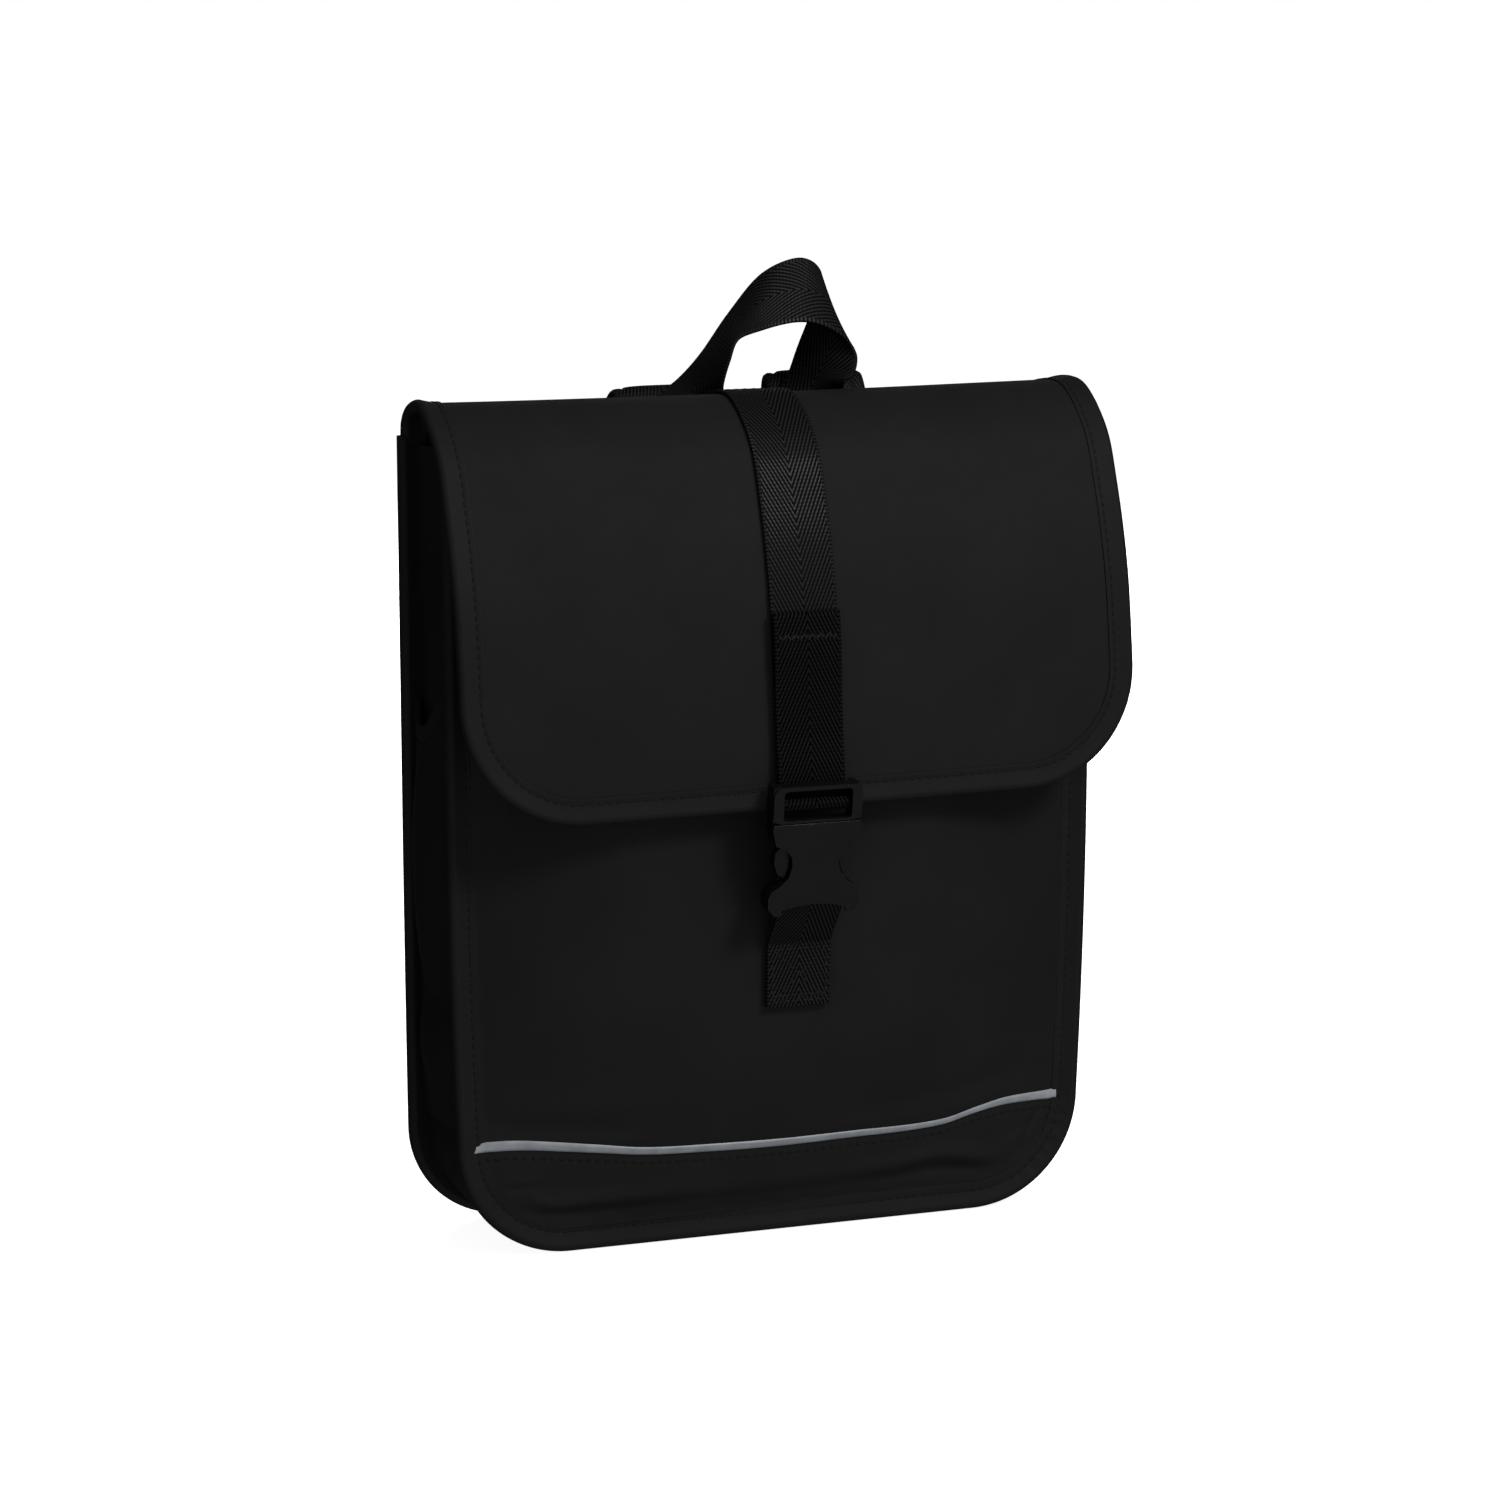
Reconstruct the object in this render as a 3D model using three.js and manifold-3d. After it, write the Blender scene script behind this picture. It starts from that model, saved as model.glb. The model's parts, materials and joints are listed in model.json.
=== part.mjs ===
// A flap-over laptop backpack in smooth coated cloth, with bound edges, a webbing strap and a buckle.
// Millimetres, +Z up. The front faces -Y, and the origin is the middle of the base, on the floor.
import * as THREE from "three";
import { mergeVertices } from "three/addons/utils/BufferGeometryUtils.js";
import Module from "manifold-3d";

const wasm = await Module();
wasm.setup();

// Driving dimensions
const GAP = 0.35; // clearance kept between pieces that touch
const CLOTH = 2.0; // coated cloth with its backing
const EDGE_PLANE = 31; // distance of the bound edges in front of and behind the middle
const FRONT_OUTLINE = { halfWidth: 141, taper: 3, radius: 48 };
const BACK_OUTLINE = { halfWidth: 142, taper: 0.5, radius: 42 };
const TAPER_HEIGHT = 140; // the taper of an outline ends this far above its bottom corners
const FRONT_TOP = 318; // top edge of the front panel, under the flap
const BACK_TOP = 330.5;
const GUSSET_TOP = 330;
const SEAM_END_HEIGHT = 45.5; // seam of the base panel, where it meets the binding
const SEAM_SAG = 5;
const STRIP_HEIGHT = 3.6; // reflective piping showing above the seam
const STRIP_THICKNESS = 1;
const BINDING_WIDTH = 11.5;
const BINDING_THICKNESS = 6;
const EDGE_TUCK = 2.8; // a panel stops this far inside the outer edge of its binding
const FRONT_CROWN = 25; // how far the front panel swells past its bound edge
const BACK_PADDING = 4.2; // how far the padded back swells past its bound edge
const WEBBING = 1.5; // thickness of all webbing
const STRAP_WIDTH = 28.5; // webbing of the closing strap
const HANDLE_WIDTH = 30;
const FLAP_CORNER_RADIUS = 50;
const FLAP_BINDING_WIDTH = 11;
const FLAP_BINDING_THICKNESS = 5;
const FLAP_BACK_HALF_WIDTH = 140.5;
const FLAP_FRONT_HALF_WIDTH = 145.2;

const cloth = { color: 0x1b1b1c, roughness: 0.62, metalness: 0 };
const trim = { color: 0x1d1d1e, roughness: 0.55, metalness: 0 };
const webbing = { color: 0x111112, roughness: 0.5, metalness: 0 };
const plastic = { color: 0x141415, roughness: 0.42, metalness: 0 };
const reflective = { color: 0xb9bcc4, roughness: 0.35, metalness: 0.1 };

// Mesh helpers

// Turns vertices and triangles into a closed geometry whose faces point out.
function closedGeometry(points, triangles) {
  let volume = 0;
  for (const [a, b, c] of triangles) {
    volume += points[a].dot(new THREE.Vector3().crossVectors(points[b], points[c]));
  }
  const index = triangles.flatMap(([a, b, c]) => (volume < 0 ? [a, c, b] : [a, b, c]));
  const geometry = new THREE.BufferGeometry();
  geometry.setAttribute("position", new THREE.Float32BufferAttribute(points.flatMap((p) => p.toArray()), 3));
  geometry.setIndex(index);
  return geometry;
}

// The unit normal of surface(u, v), on the side of du x dv.
function normalOf(surface, u, v) {
  const step = 1e-3;
  const du = surface(u + step, v).sub(surface(u - step, v));
  const dv = surface(u, v + step).sub(surface(u, v - step));
  return du.cross(dv).normalize();
}

// A cloth wall between surface(u, v) raised by `raise` along its normal and the same surface lowered
// by `depth`, which is a number or a function of (u, v).
function wall(surface, us, vs, depth, raise = 0) {
  const depthAt = typeof depth === "function" ? depth : () => depth;
  const points = [];
  for (const offset of [() => raise, (u, v) => -depthAt(u, v)]) {
    for (const v of vs) {
      for (const u of us) {
        points.push(surface(u, v).addScaledVector(normalOf(surface, u, v), offset(u, v)));
      }
    }
  }
  const columns = us.length;
  const side = columns * vs.length;
  const triangles = [];
  const quad = (a, b, c, d) => triangles.push([a, b, c], [a, c, d]);
  for (let j = 0; j + 1 < vs.length; j++) {
    for (let i = 0; i + 1 < columns; i++) {
      const k = j * columns + i;
      quad(k, k + 1, k + columns + 1, k + columns);
      quad(side + k, side + k + columns, side + k + columns + 1, side + k + 1);
    }
  }
  const rim = [];
  for (let i = 0; i < columns - 1; i++) rim.push(i);
  for (let j = 0; j < vs.length - 1; j++) rim.push(j * columns + columns - 1);
  for (let i = columns - 1; i > 0; i--) rim.push((vs.length - 1) * columns + i);
  for (let j = vs.length - 1; j > 0; j--) rim.push(j * columns);
  rim.forEach((a, n) => {
    const b = rim[(n + 1) % rim.length];
    quad(b, a, side + a, side + b);
  });
  return closedGeometry(points, triangles);
}

// A solid with the same outline (a, b) carried along frames {origin, a, b}, closed by flat ends.
// `outline` is a list of points, or a function of the frame's number that gives one.
function sweep(frames, outline) {
  const outlineAt = typeof outline === "function" ? outline : () => outline;
  const points = frames.flatMap(({ origin, a, b }, n) =>
    outlineAt(n).map(([p, q]) => origin.clone().addScaledVector(a, p).addScaledVector(b, q)),
  );
  const sides = outlineAt(0).length;
  const triangles = [];
  for (let n = 0; n + 1 < frames.length; n++) {
    for (let i = 0; i < sides; i++) {
      const j = (i + 1) % sides;
      const k = n * sides;
      triangles.push([k + i, k + j, k + sides + j], [k + i, k + sides + j, k + sides + i]);
    }
  }
  const flat = outlineAt(0).map(([p, q]) => new THREE.Vector2(p, q));
  const last = (frames.length - 1) * sides;
  const clockwise = THREE.ShapeUtils.isClockWise(flat);
  for (const [a, b, c] of THREE.ShapeUtils.triangulateShape(flat, [])) {
    const [i, j, k] = clockwise ? [a, b, c] : [a, c, b];
    triangles.push([i, j, k], [last + i, last + k, last + j]);
  }
  return closedGeometry(points, triangles);
}

function solidOf(geometry) {
  const bare = geometry.clone();
  bare.deleteAttribute("normal");
  bare.deleteAttribute("uv");
  const merged = mergeVertices(bare, 1e-4);
  return new wasm.Manifold(
    new wasm.Mesh({
      numProp: 3,
      vertProperties: new Float32Array(merged.attributes.position.array),
      triVerts: new Uint32Array(merged.index.array),
    }),
  );
}

function geometryOf(solid) {
  const mesh = solid.getMesh();
  const geometry = new THREE.BufferGeometry();
  geometry.setAttribute("position", new THREE.BufferAttribute(mesh.vertProperties, 3));
  geometry.setIndex(new THREE.BufferAttribute(mesh.triVerts, 1));
  return geometry;
}

const joined = (...geometries) => geometryOf(geometries.map(solidOf).reduce((all, next) => all.add(next)));
const cutBy = (geometry, ...cutters) =>
  geometryOf(cutters.map(solidOf).reduce((rest, cutter) => rest.subtract(cutter), solidOf(geometry)));

const bag = new THREE.Group();

function piece(name, geometry, finish, group = bag) {
  const mesh = new THREE.Mesh(geometry, new THREE.MeshStandardMaterial(finish));
  mesh.name = name;
  group.add(mesh);
  return mesh;
}

// Number helpers

const clamp01 = (t) => Math.min(1, Math.max(0, t));
const ease = (t) => Math.sin((Math.PI / 2) * clamp01(t));
const smooth = (t) => clamp01(t) ** 2 * (3 - 2 * clamp01(t));
const spaced = (from, to, steps) =>
  Array.from({ length: steps + 1 }, (_, n) => from + ((to - from) * n) / steps);
const mirrored = (half) =>
  [...half.map((t) => -t).reverse(), ...half].filter((t, n, all) => n === 0 || t !== all[n - 1]);

// Reads column `key` of a table at `where` along column `at`, on a smooth curve through the rows.
function lookUp(rows, at, where, key) {
  const last = rows.length - 1;
  if (where <= rows[0][at]) return rows[0][key];
  if (where >= rows[last][at]) return rows[last][key];
  const high = rows.findIndex((row) => row[at] > where);
  const slope = (n) => {
    const [a, b] = [rows[Math.max(n - 1, 0)], rows[Math.min(n + 1, last)]];
    return (b[key] - a[key]) / (b[at] - a[at]);
  };
  const [from, to] = [rows[high - 1], rows[high]];
  const span = to[at] - from[at];
  const t = (where - from[at]) / span;
  const rise = to[key] - from[key];
  const [bendIn, bendOut] = [slope(high - 1) * span - rise, rise - slope(high) * span];
  return from[key] + rise * t + t * (1 - t) * (bendIn * (1 - t) + bendOut * t);
}

// Outlines of the front and back panels: open at the top, with two round bottom corners

const ARC_STEPS = 7;

class PanelOutline {
  constructor({ halfWidth, taper, radius }) {
    this.top = halfWidth;
    this.taper = taper;
    this.radius = radius;
    this.bottomHalf = this.halfWidth(0); // half length of the straight bottom edge
  }

  halfWidth(z) {
    const side = this.top - this.taper * (1 - clamp01((z - this.radius) / TAPER_HEIGHT)) ** 2;
    if (z >= this.radius) return side;
    const drop = this.radius - Math.max(z, 0);
    return side - this.radius + Math.sqrt(this.radius ** 2 - drop ** 2);
  }

  // How far (x, z) lies inside the outline.
  inset(x, z) {
    const past = Math.abs(x) - this.bottomHalf;
    if (z < this.radius && past > 0) return this.radius - Math.hypot(past, this.radius - z);
    const toSide = this.halfWidth(Math.max(z, this.radius)) - Math.abs(x);
    return z < this.radius ? Math.min(toSide, z) : toSide;
  }

  // Points {x, z} with outward normals {nx, nz} from the top left, round the bottom, to the top right.
  points(top, bottomSteps, sideSteps) {
    const bottom = spaced(0, this.bottomHalf, bottomSteps).map((x) => ({ x, z: 0, nx: 0, nz: -1 }));
    const arc = spaced(0, Math.PI / 2, ARC_STEPS).map((t) => ({
      x: this.bottomHalf + this.radius * Math.sin(t),
      z: this.radius * (1 - Math.cos(t)),
      nx: Math.sin(t),
      nz: -Math.cos(t),
    }));
    const side = spaced(this.radius, top, sideSteps).map((z) => ({ x: this.halfWidth(z), z, nx: 1, nz: 0 }));
    const half = [...bottom, ...arc.slice(1), ...side.slice(1)];
    const left = half.slice(1).reverse().map((p) => ({ ...p, x: -p.x, nx: -p.nx }));
    return [...left, ...half];
  }

  // Across the panel at height z: u from 0 to 1 spans the cloth inside the binding, 1 to 2 its tucked edge.
  across(u, z) {
    const inside = Math.min(Math.abs(u), 1) * (this.halfWidth(z) - BINDING_WIDTH);
    const tucked = Math.max(0, Math.abs(u) - 1) * (BINDING_WIDTH - EDGE_TUCK);
    return Math.sign(u) * (inside + tucked);
  }
}

const frontOutline = new PanelOutline(FRONT_OUTLINE);
const backOutline = new PanelOutline(BACK_OUTLINE);

// Front: a swollen panel over a base panel, with reflective piping in the seam between them

const SIDE_SWELL = 85; // distance from the binding over which the front swells
const FRONT_SWELL = [
  { z: 11.5, share: 0 },
  { z: 20, share: 0.17 },
  { z: 32, share: 0.36 },
  { z: 50, share: 0.6 },
  { z: 85, share: 0.9 },
  { z: 120, share: 1 },
  { z: 215, share: 1 },
  { z: 268, share: 0.84 },
  { z: 318, share: 0.3 },
];
const COLUMN_SHARES = [0, 0.22, 0.44, 0.64, 0.8, 0.91, 1];

const frontColumns = mirrored([...COLUMN_SHARES, 2]);
const frontSwell = (x, z) => {
  const fromBinding = frontOutline.halfWidth(z) - Math.abs(x) - BINDING_WIDTH;
  return FRONT_CROWN * ease(fromBinding / SIDE_SWELL) ** 0.9 * lookUp(FRONT_SWELL, "z", z, "share");
};
const frontFace = (u, z) => {
  const x = frontOutline.across(u, z);
  return new THREE.Vector3(x, -EDGE_PLANE - CLOTH / 2 - frontSwell(x, z), z);
};

// Height of the base panel's seam at column u: it sags a little in the middle.
const seamHeight = (u) => SEAM_END_HEIGHT - SEAM_SAG * (1 - Math.min(1, Math.abs(u)) ** 2);
const baseSurface = (u, v) => frontFace(u, EDGE_TUCK + (seamHeight(u) - GAP / 2 - EDGE_TUCK) * v);
const BASE_ROWS = [0, 0.24, 0.45, 0.7, 1];
const upperSurface = (u, v) => {
  const low = seamHeight(u) + GAP / 2;
  return frontFace(u, low + (FRONT_TOP - low) * v);
};
const UPPER_ROWS = [0, 0.04, 0.09, 0.17, 0.3, 0.48, 0.64, 0.76, 0.88, 1];

piece("front_panel", wall(upperSurface, frontColumns, UPPER_ROWS, CLOTH), cloth);
piece("base_panel", wall(baseSurface, frontColumns, BASE_ROWS, CLOTH), cloth);

const stripSurface = (u, v) => frontFace(u, seamHeight(u) - GAP / 2 + STRIP_HEIGHT * v);
const STRIP_REACH = 0.985; // the strip stops just short of the binding
const stripColumns = mirrored([...COLUMN_SHARES.slice(0, -1), STRIP_REACH]);
piece("reflective_strip", wall(stripSurface, stripColumns, [0, 1], -GAP, STRIP_THICKNESS + GAP), reflective);

// Bindings: a rolled tape that grips the edge of a panel. Section: a inward from the outer edge, b across.

const bindingSection = (width, thickness) => {
  const half = thickness / 2;
  return [
    [0, -0.27 * thickness],
    [0, 0.27 * thickness],
    [1.2, 0.45 * thickness],
    [3, half],
    [width, half],
    [width, -half],
    [3, -half],
    [1.2, -0.45 * thickness],
  ];
};

// The empty slot in a binding, where the panel's edge lies.
const slotSection = (width) => {
  const half = CLOTH / 2 + GAP;
  return [
    [EDGE_TUCK - 1, -half],
    [EDGE_TUCK - 1, half],
    [width + 1, half],
    [width + 1, -half],
  ];
};

// The binding of a panel whose edge lies at depth y, cut clear of the panel itself.
function panelBinding(outline, top, y, ...panels) {
  const frames = outline.points(top, 2, 6).map(({ x, z, nx, nz }) => ({
    origin: new THREE.Vector3(x, y, z),
    a: new THREE.Vector3(-nx, 0, -nz),
    b: new THREE.Vector3(0, 1, 0),
  }));
  const roll = sweep(frames, bindingSection(BINDING_WIDTH, BINDING_THICKNESS));
  const longer = [frames[0], frames[frames.length - 1]].map((frame) => ({
    ...frame,
    origin: frame.origin.clone().setZ(top + 1),
  }));
  const slot = sweep([longer[0], ...frames, longer[1]], slotSection(BINDING_WIDTH));
  return cutBy(roll, slot, ...panels);
}

const grownUpper = wall(upperSurface, frontColumns, UPPER_ROWS, CLOTH + GAP, GAP);
const grownBase = wall(baseSurface, frontColumns, BASE_ROWS, CLOTH + GAP, GAP);
piece("front_binding", panelBinding(frontOutline, FRONT_TOP - 1, -EDGE_PLANE, grownUpper, grownBase), trim);

// Back: a padded panel in the same outline

const PADDING_RISE = 26; // distance from the binding over which the padding rises
const paddingRise = (x, z) => BACK_PADDING * smooth((backOutline.inset(x, z) - BINDING_WIDTH) / PADDING_RISE);
const backFace = (u, z) => {
  const x = backOutline.across(-u, z);
  return new THREE.Vector3(x, EDGE_PLANE + CLOTH / 2 + paddingRise(x, z), z);
};
const backColumns = mirrored([0, 0.4, 0.82, 0.92, 1, 2]);
const BACK_ROW_HEIGHTS = [EDGE_TUCK, BINDING_WIDTH, 24, 40, 60, 130, 240, BACK_TOP];
const backDepth = (extra) => (u, z) => CLOTH + paddingRise(backOutline.across(u, z), z) + extra;
piece("back_panel", wall(backFace, backColumns, BACK_ROW_HEIGHTS, backDepth(0)), cloth);
const grownBack = wall(backFace, backColumns, BACK_ROW_HEIGHTS, backDepth(GAP), GAP);
piece("back_binding", panelBinding(backOutline, BACK_TOP - 0.2, EDGE_PLANE, grownBack), trim);

// Gusset: one band round the sides and the base, set in from the bound edges and folded in towards the top

const GUSSET_HALF_DEPTH = EDGE_PLANE - BINDING_THICKNESS / 2 - GAP;
const SIDE_RECESS = 8;
const BASE_EDGE_RECESS = 5; // the base cloth meets the bindings this far above the floor
const GUSSET_FOLD = [
  { z: 54, inward: 1 },
  { z: 150, inward: 4 },
  { z: 240, inward: 7 },
  { z: 330, inward: 13 },
];
const gussetEdges = [backOutline, frontOutline].map((outline) => outline.points(GUSSET_TOP, 2, 7));

// The gusset's outer surface at outline point number n (or any fraction of one) and share v of its
// depth, back to front.
function gussetFace(n, v) {
  const low = Math.min(Math.floor(Math.max(n, 0)), gussetEdges[0].length - 2);
  const mix = (key) => {
    const [back, front] = gussetEdges.map(
      (edge) => edge[low][key] + (edge[low + 1][key] - edge[low][key]) * (n - low),
    );
    return back + (front - back) * v;
  };
  const sideways = Math.abs(mix("nx"));
  const across = 1 - Math.abs(2 * v - 1);
  const edge = BASE_EDGE_RECESS + (SIDE_RECESS - BASE_EDGE_RECESS) * sideways;
  const sag = (1 - sideways) * -BASE_EDGE_RECESS * smooth(across / 0.34);
  const fold = sideways * lookUp(GUSSET_FOLD, "z", mix("z"), "inward") * smooth(across);
  const depth = edge + sag + fold;
  return new THREE.Vector3(
    mix("x") - mix("nx") * depth,
    GUSSET_HALF_DEPTH * (1 - 2 * v),
    mix("z") - mix("nz") * depth,
  );
}
const GUSSET_ROWS = [0, 0.17, 0.34, 0.5, 0.66, 0.83, 1];
const gussetSteps = gussetEdges[0].map((_, n) => n);
piece("gusset", wall(gussetFace, gussetSteps, GUSSET_ROWS, CLOTH), cloth);

// Side pockets: a slack cloth on each side wall, open at the top, whose hem sags between its two seams

const POCKET_FLOOR = 50;
const POCKET_SEAM_TOP = 247; // where the hem meets the bindings
const POCKET_HEM_SAG = 29;
const POCKET_BULGE = [
  { z: 50, out: 0.8 },
  { z: 62, out: 3 },
  { z: 82, out: 7.5 },
  { z: 107, out: 4 },
  { z: 135, out: 8.5 },
  { z: 180, out: 9.5 },
  { z: 247, out: 9 },
];
const POCKET_CLOTH = 1.5;
const POCKET_COLUMNS = [0, 0.12, 0.3, 0.5, 0.7, 0.88, 1];
const POCKET_ROWS = [0, 0.08, 0.18, 0.32, 0.47, 0.75, 1];

function sidePocket(side) {
  const frontward = (v) => (side > 0 ? 1 - v : v); // 0 at the back edge of the pocket, 1 at its front edge
  const face = (v, r) => {
    const slack = Math.sin(Math.PI * clamp01(v));
    const top = POCKET_SEAM_TOP - POCKET_HEM_SAG * slack ** 1.5;
    const z = POCKET_FLOOR + (top - POCKET_FLOOR) * r;
    const out = POCKET_CLOTH + GAP + 0.4 + lookUp(POCKET_BULGE, "z", z, "out") * slack ** 0.7;
    const [backEdge, frontEdge] = [backOutline.halfWidth(z), frontOutline.halfWidth(z)];
    const x = backEdge + (frontEdge - backEdge) * frontward(v) - SIDE_RECESS + out;
    return new THREE.Vector3(side * x, side * GUSSET_HALF_DEPTH * (2 * v - 1), z);
  };
  return wall(face, POCKET_COLUMNS, POCKET_ROWS, POCKET_CLOTH);
}
piece("side_pocket_left", sidePocket(-1), cloth);
piece("side_pocket_right", sidePocket(1), cloth);

// Flap: one sheet from the top of the back, over the top and down the front, with a bound edge

const FLAP_PROFILE = [
  { y: 32, z: 331.2 },
  { y: 29.5, z: 339.5 },
  { y: 21, z: 345 },
  { y: 7, z: 348.4 },
  { y: -6, z: 349.6 },
  { y: -17, z: 347.8 },
  { y: -31, z: 340 },
  { y: -42.5, z: 328.5 },
  { y: -50.8, z: 310 },
  { y: -57.5, z: 291 },
  { y: -63, z: 268 },
  { y: -67.3, z: 232 },
  { y: -69.4, z: 200 },
  { y: -69.6, z: 187.5 },
];
const TOP_EDGE_LIFT = 1; // along the top, the bound edges stand this much higher than the middle
const TOP_LEAN = 0.5; // the right end of the top stands this much higher still, the left end lower
const FLAP_CROWN = 3; // down the front, the bound edges lie this much further back than the middle
const FLAP_SKEW = 1.8; // the right end of the lower edge stands this much higher than its middle
const FLAP_SHIFT = 1.7; // the lower edge hangs this far to the right
const flapPoints = FLAP_PROFILE.map(({ y, z }) => new THREE.Vector3(0, y, z));
const flapLine = new THREE.CatmullRomCurve3(flapPoints, false, "centripetal");
flapLine.arcLengthDivisions = 400;
const FLAP_LENGTH = flapLine.getLength();
const FLAP_TOP_AT = 42; // distance along the flap from its back seam to the highest point
const FLAP_TOP_REACH = 45; // the top's lift and lean fade out over this distance along the flap
const FLAP_WIDENS_OVER = 60; // distance along the flap in which it reaches its full width

function flapHalfWidth(s) {
  const widening = FLAP_FRONT_HALF_WIDTH - FLAP_BACK_HALF_WIDTH;
  const side = FLAP_BACK_HALF_WIDTH + widening * smooth(s / FLAP_WIDENS_OVER);
  const left = FLAP_LENGTH - s;
  if (left >= FLAP_CORNER_RADIUS) return side;
  const drop = FLAP_CORNER_RADIUS - Math.max(left, 0);
  return side - FLAP_CORNER_RADIUS + Math.sqrt(FLAP_CORNER_RADIUS ** 2 - drop ** 2);
}

// The flap's outer surface at distance s along it and x across it.
function flapFace(x, s) {
  const at = flapLine.getPointAt(clamp01(s / FLAP_LENGTH));
  const side = x / FLAP_FRONT_HALF_WIDTH;
  const nearTop = smooth(1 - Math.abs(s - FLAP_TOP_AT) / FLAP_TOP_REACH);
  const down = clamp01((s - FLAP_TOP_AT) / (FLAP_LENGTH - FLAP_TOP_AT));
  const lift = (TOP_EDGE_LIFT * side ** 2 + TOP_LEAN * side) * nearTop + FLAP_SKEW * side * down ** 2;
  const back = FLAP_CROWN * side ** 2 * smooth(3 * down);
  return new THREE.Vector3(x + FLAP_SHIFT * down, at.y + back, at.z + lift);
}
const flapOut = (x, s) => normalOf(flapFace, x, s).negate();
const cornerStations = [24, 42, 57, 72].map(
  (degrees) => FLAP_LENGTH - FLAP_CORNER_RADIUS * (1 - Math.sin((degrees * Math.PI) / 180)),
);
const flapStations = [
  ...spaced(0, FLAP_WIDENS_OVER, 6),
  ...spaced(FLAP_WIDENS_OVER, FLAP_LENGTH - FLAP_CORNER_RADIUS, 7).slice(1),
  ...cornerStations,
];
const flapColumns = mirrored([0, 0.3, 0.6, 0.85, 1]);
const flapSurface = (u, s) => flapFace(-u * (flapHalfWidth(s + EDGE_TUCK) - EDGE_TUCK), s);
const flapSheet = (depth, raise) =>
  wall(flapSurface, flapColumns, [...flapStations, FLAP_LENGTH - EDGE_TUCK], depth, raise);
piece("flap", flapSheet(CLOTH, 0), cloth);

// The edge of the flap as frames: the left edge, the lower edge and the right edge.
function flapFrames(from) {
  const straight = [
    ...spaced(from, FLAP_WIDENS_OVER, 6),
    ...spaced(FLAP_WIDENS_OVER, FLAP_LENGTH - FLAP_CORNER_RADIUS, 7).slice(1),
  ].map((s) => ({ s, x: flapHalfWidth(s), nx: 1, ns: 0 }));
  const arc = spaced(0, Math.PI / 2, ARC_STEPS).map((t) => ({
    s: FLAP_LENGTH - FLAP_CORNER_RADIUS * (1 - Math.sin(t)),
    x: FLAP_FRONT_HALF_WIDTH - FLAP_CORNER_RADIUS * (1 - Math.cos(t)),
    nx: Math.cos(t),
    ns: Math.sin(t),
  }));
  const right = [...straight, ...arc.slice(1), { s: FLAP_LENGTH, x: 45, nx: 0, ns: 1 }];
  const left = right.map((p) => ({ ...p, x: -p.x, nx: -p.nx }));
  return [...left, { s: FLAP_LENGTH, x: 0, nx: 0, ns: 1 }, ...right.reverse()].map(({ s, x, nx, ns }) => {
    const step = Math.min(Math.max(s, 0.5), FLAP_LENGTH - 0.5);
    const along = flapFace(x, step + 0.4).sub(flapFace(x, step - 0.4)).normalize();
    const out = flapOut(x, step);
    const inward = new THREE.Vector3(-nx, 0, 0).addScaledVector(along, -ns);
    inward.addScaledVector(out, -inward.dot(out)).normalize();
    return { origin: flapFace(x, s).addScaledVector(out, -CLOTH / 2), a: inward, b: out };
  });
}
const flapRoll = sweep(flapFrames(1), bindingSection(FLAP_BINDING_WIDTH, FLAP_BINDING_THICKNESS));
const flapSlot = sweep(flapFrames(0), slotSection(FLAP_BINDING_WIDTH));
piece("flap_binding", cutBy(flapRoll, flapSlot, flapSheet(CLOTH + GAP, GAP)), trim);

// Webbing that runs in the YZ plane: a path of [y, z] points, given a thickness and a width across X

function flatWebbing(path, width, thickness) {
  const points = path.map(([y, z]) => new THREE.Vector2(y, z));
  const offset = (side) =>
    points.map((p, n) => {
      const before = n > 0 ? p.clone().sub(points[n - 1]).normalize() : null;
      const after = n + 1 < points.length ? points[n + 1].clone().sub(p).normalize() : null;
      const along = (before ?? after).clone().add(after ?? before).normalize();
      const reach = thickness / 2 / Math.max(0.6, along.dot(before ?? after));
      return new THREE.Vector2(p.x - along.y * side * reach, p.y + along.x * side * reach);
    });
  const shape = new THREE.Shape([...offset(1), ...offset(-1).reverse()]);
  const geometry = new THREE.ExtrudeGeometry(shape, { depth: width, bevelEnabled: false });
  const toBag = new THREE.Matrix4().set(0, 0, 1, -width / 2, 1, 0, 0, 0, 0, 1, 0, 0, 0, 0, 0, 1);
  return geometry.applyMatrix4(toBag);
}

// Points of an arc round [y, z], from angle `from` to angle `to` in degrees: 0 points back, 90 up.
const arcPoints = ([y, z], radius, from, to, steps) =>
  spaced(from, to, steps).map((degrees) => {
    const t = (degrees * Math.PI) / 180;
    return [y + radius * Math.cos(t), z + radius * Math.sin(t)];
  });

// Side-release buckle, built about the mouth of its socket: x across, y through, z along the strap

const BUCKLE_AT = { y: -76.6, z: 184, tilt: 7 };
const FRAME = { halfWidth: 19, low: GAP, high: 15.5, front: -4.2, back: 1.5, corner: 4.2 };
const FRAME_SIDE = { width: 4, back: 4.2, corner: 1.6 };
const WINDOW = { halfWidth: 14.7, low: 1.4, high: 13.9, corner: 1.8 };
const WRAP_BAR = { y: 0.6, z: 7, radius: 1.5 };
const PRONG = [
  { x: 8.4, z: 1 },
  { x: 13.4, z: 1 },
  { x: 13.2, z: -5 },
  { x: 14.2, z: -9.6 },
  { x: 16.9, z: -12 },
  { x: 17.3, z: -17 },
  { x: 15.6, z: -21.5 },
  { x: 12.6, z: -23 },
  { x: 11.2, z: -19 },
  { x: 10.7, z: -10 },
  { x: 8.4, z: -5 },
];
const PRONG_THICKNESS = 5;
const GUIDE = { halfWidth: 2, length: 20, thickness: 4.4 };
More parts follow.
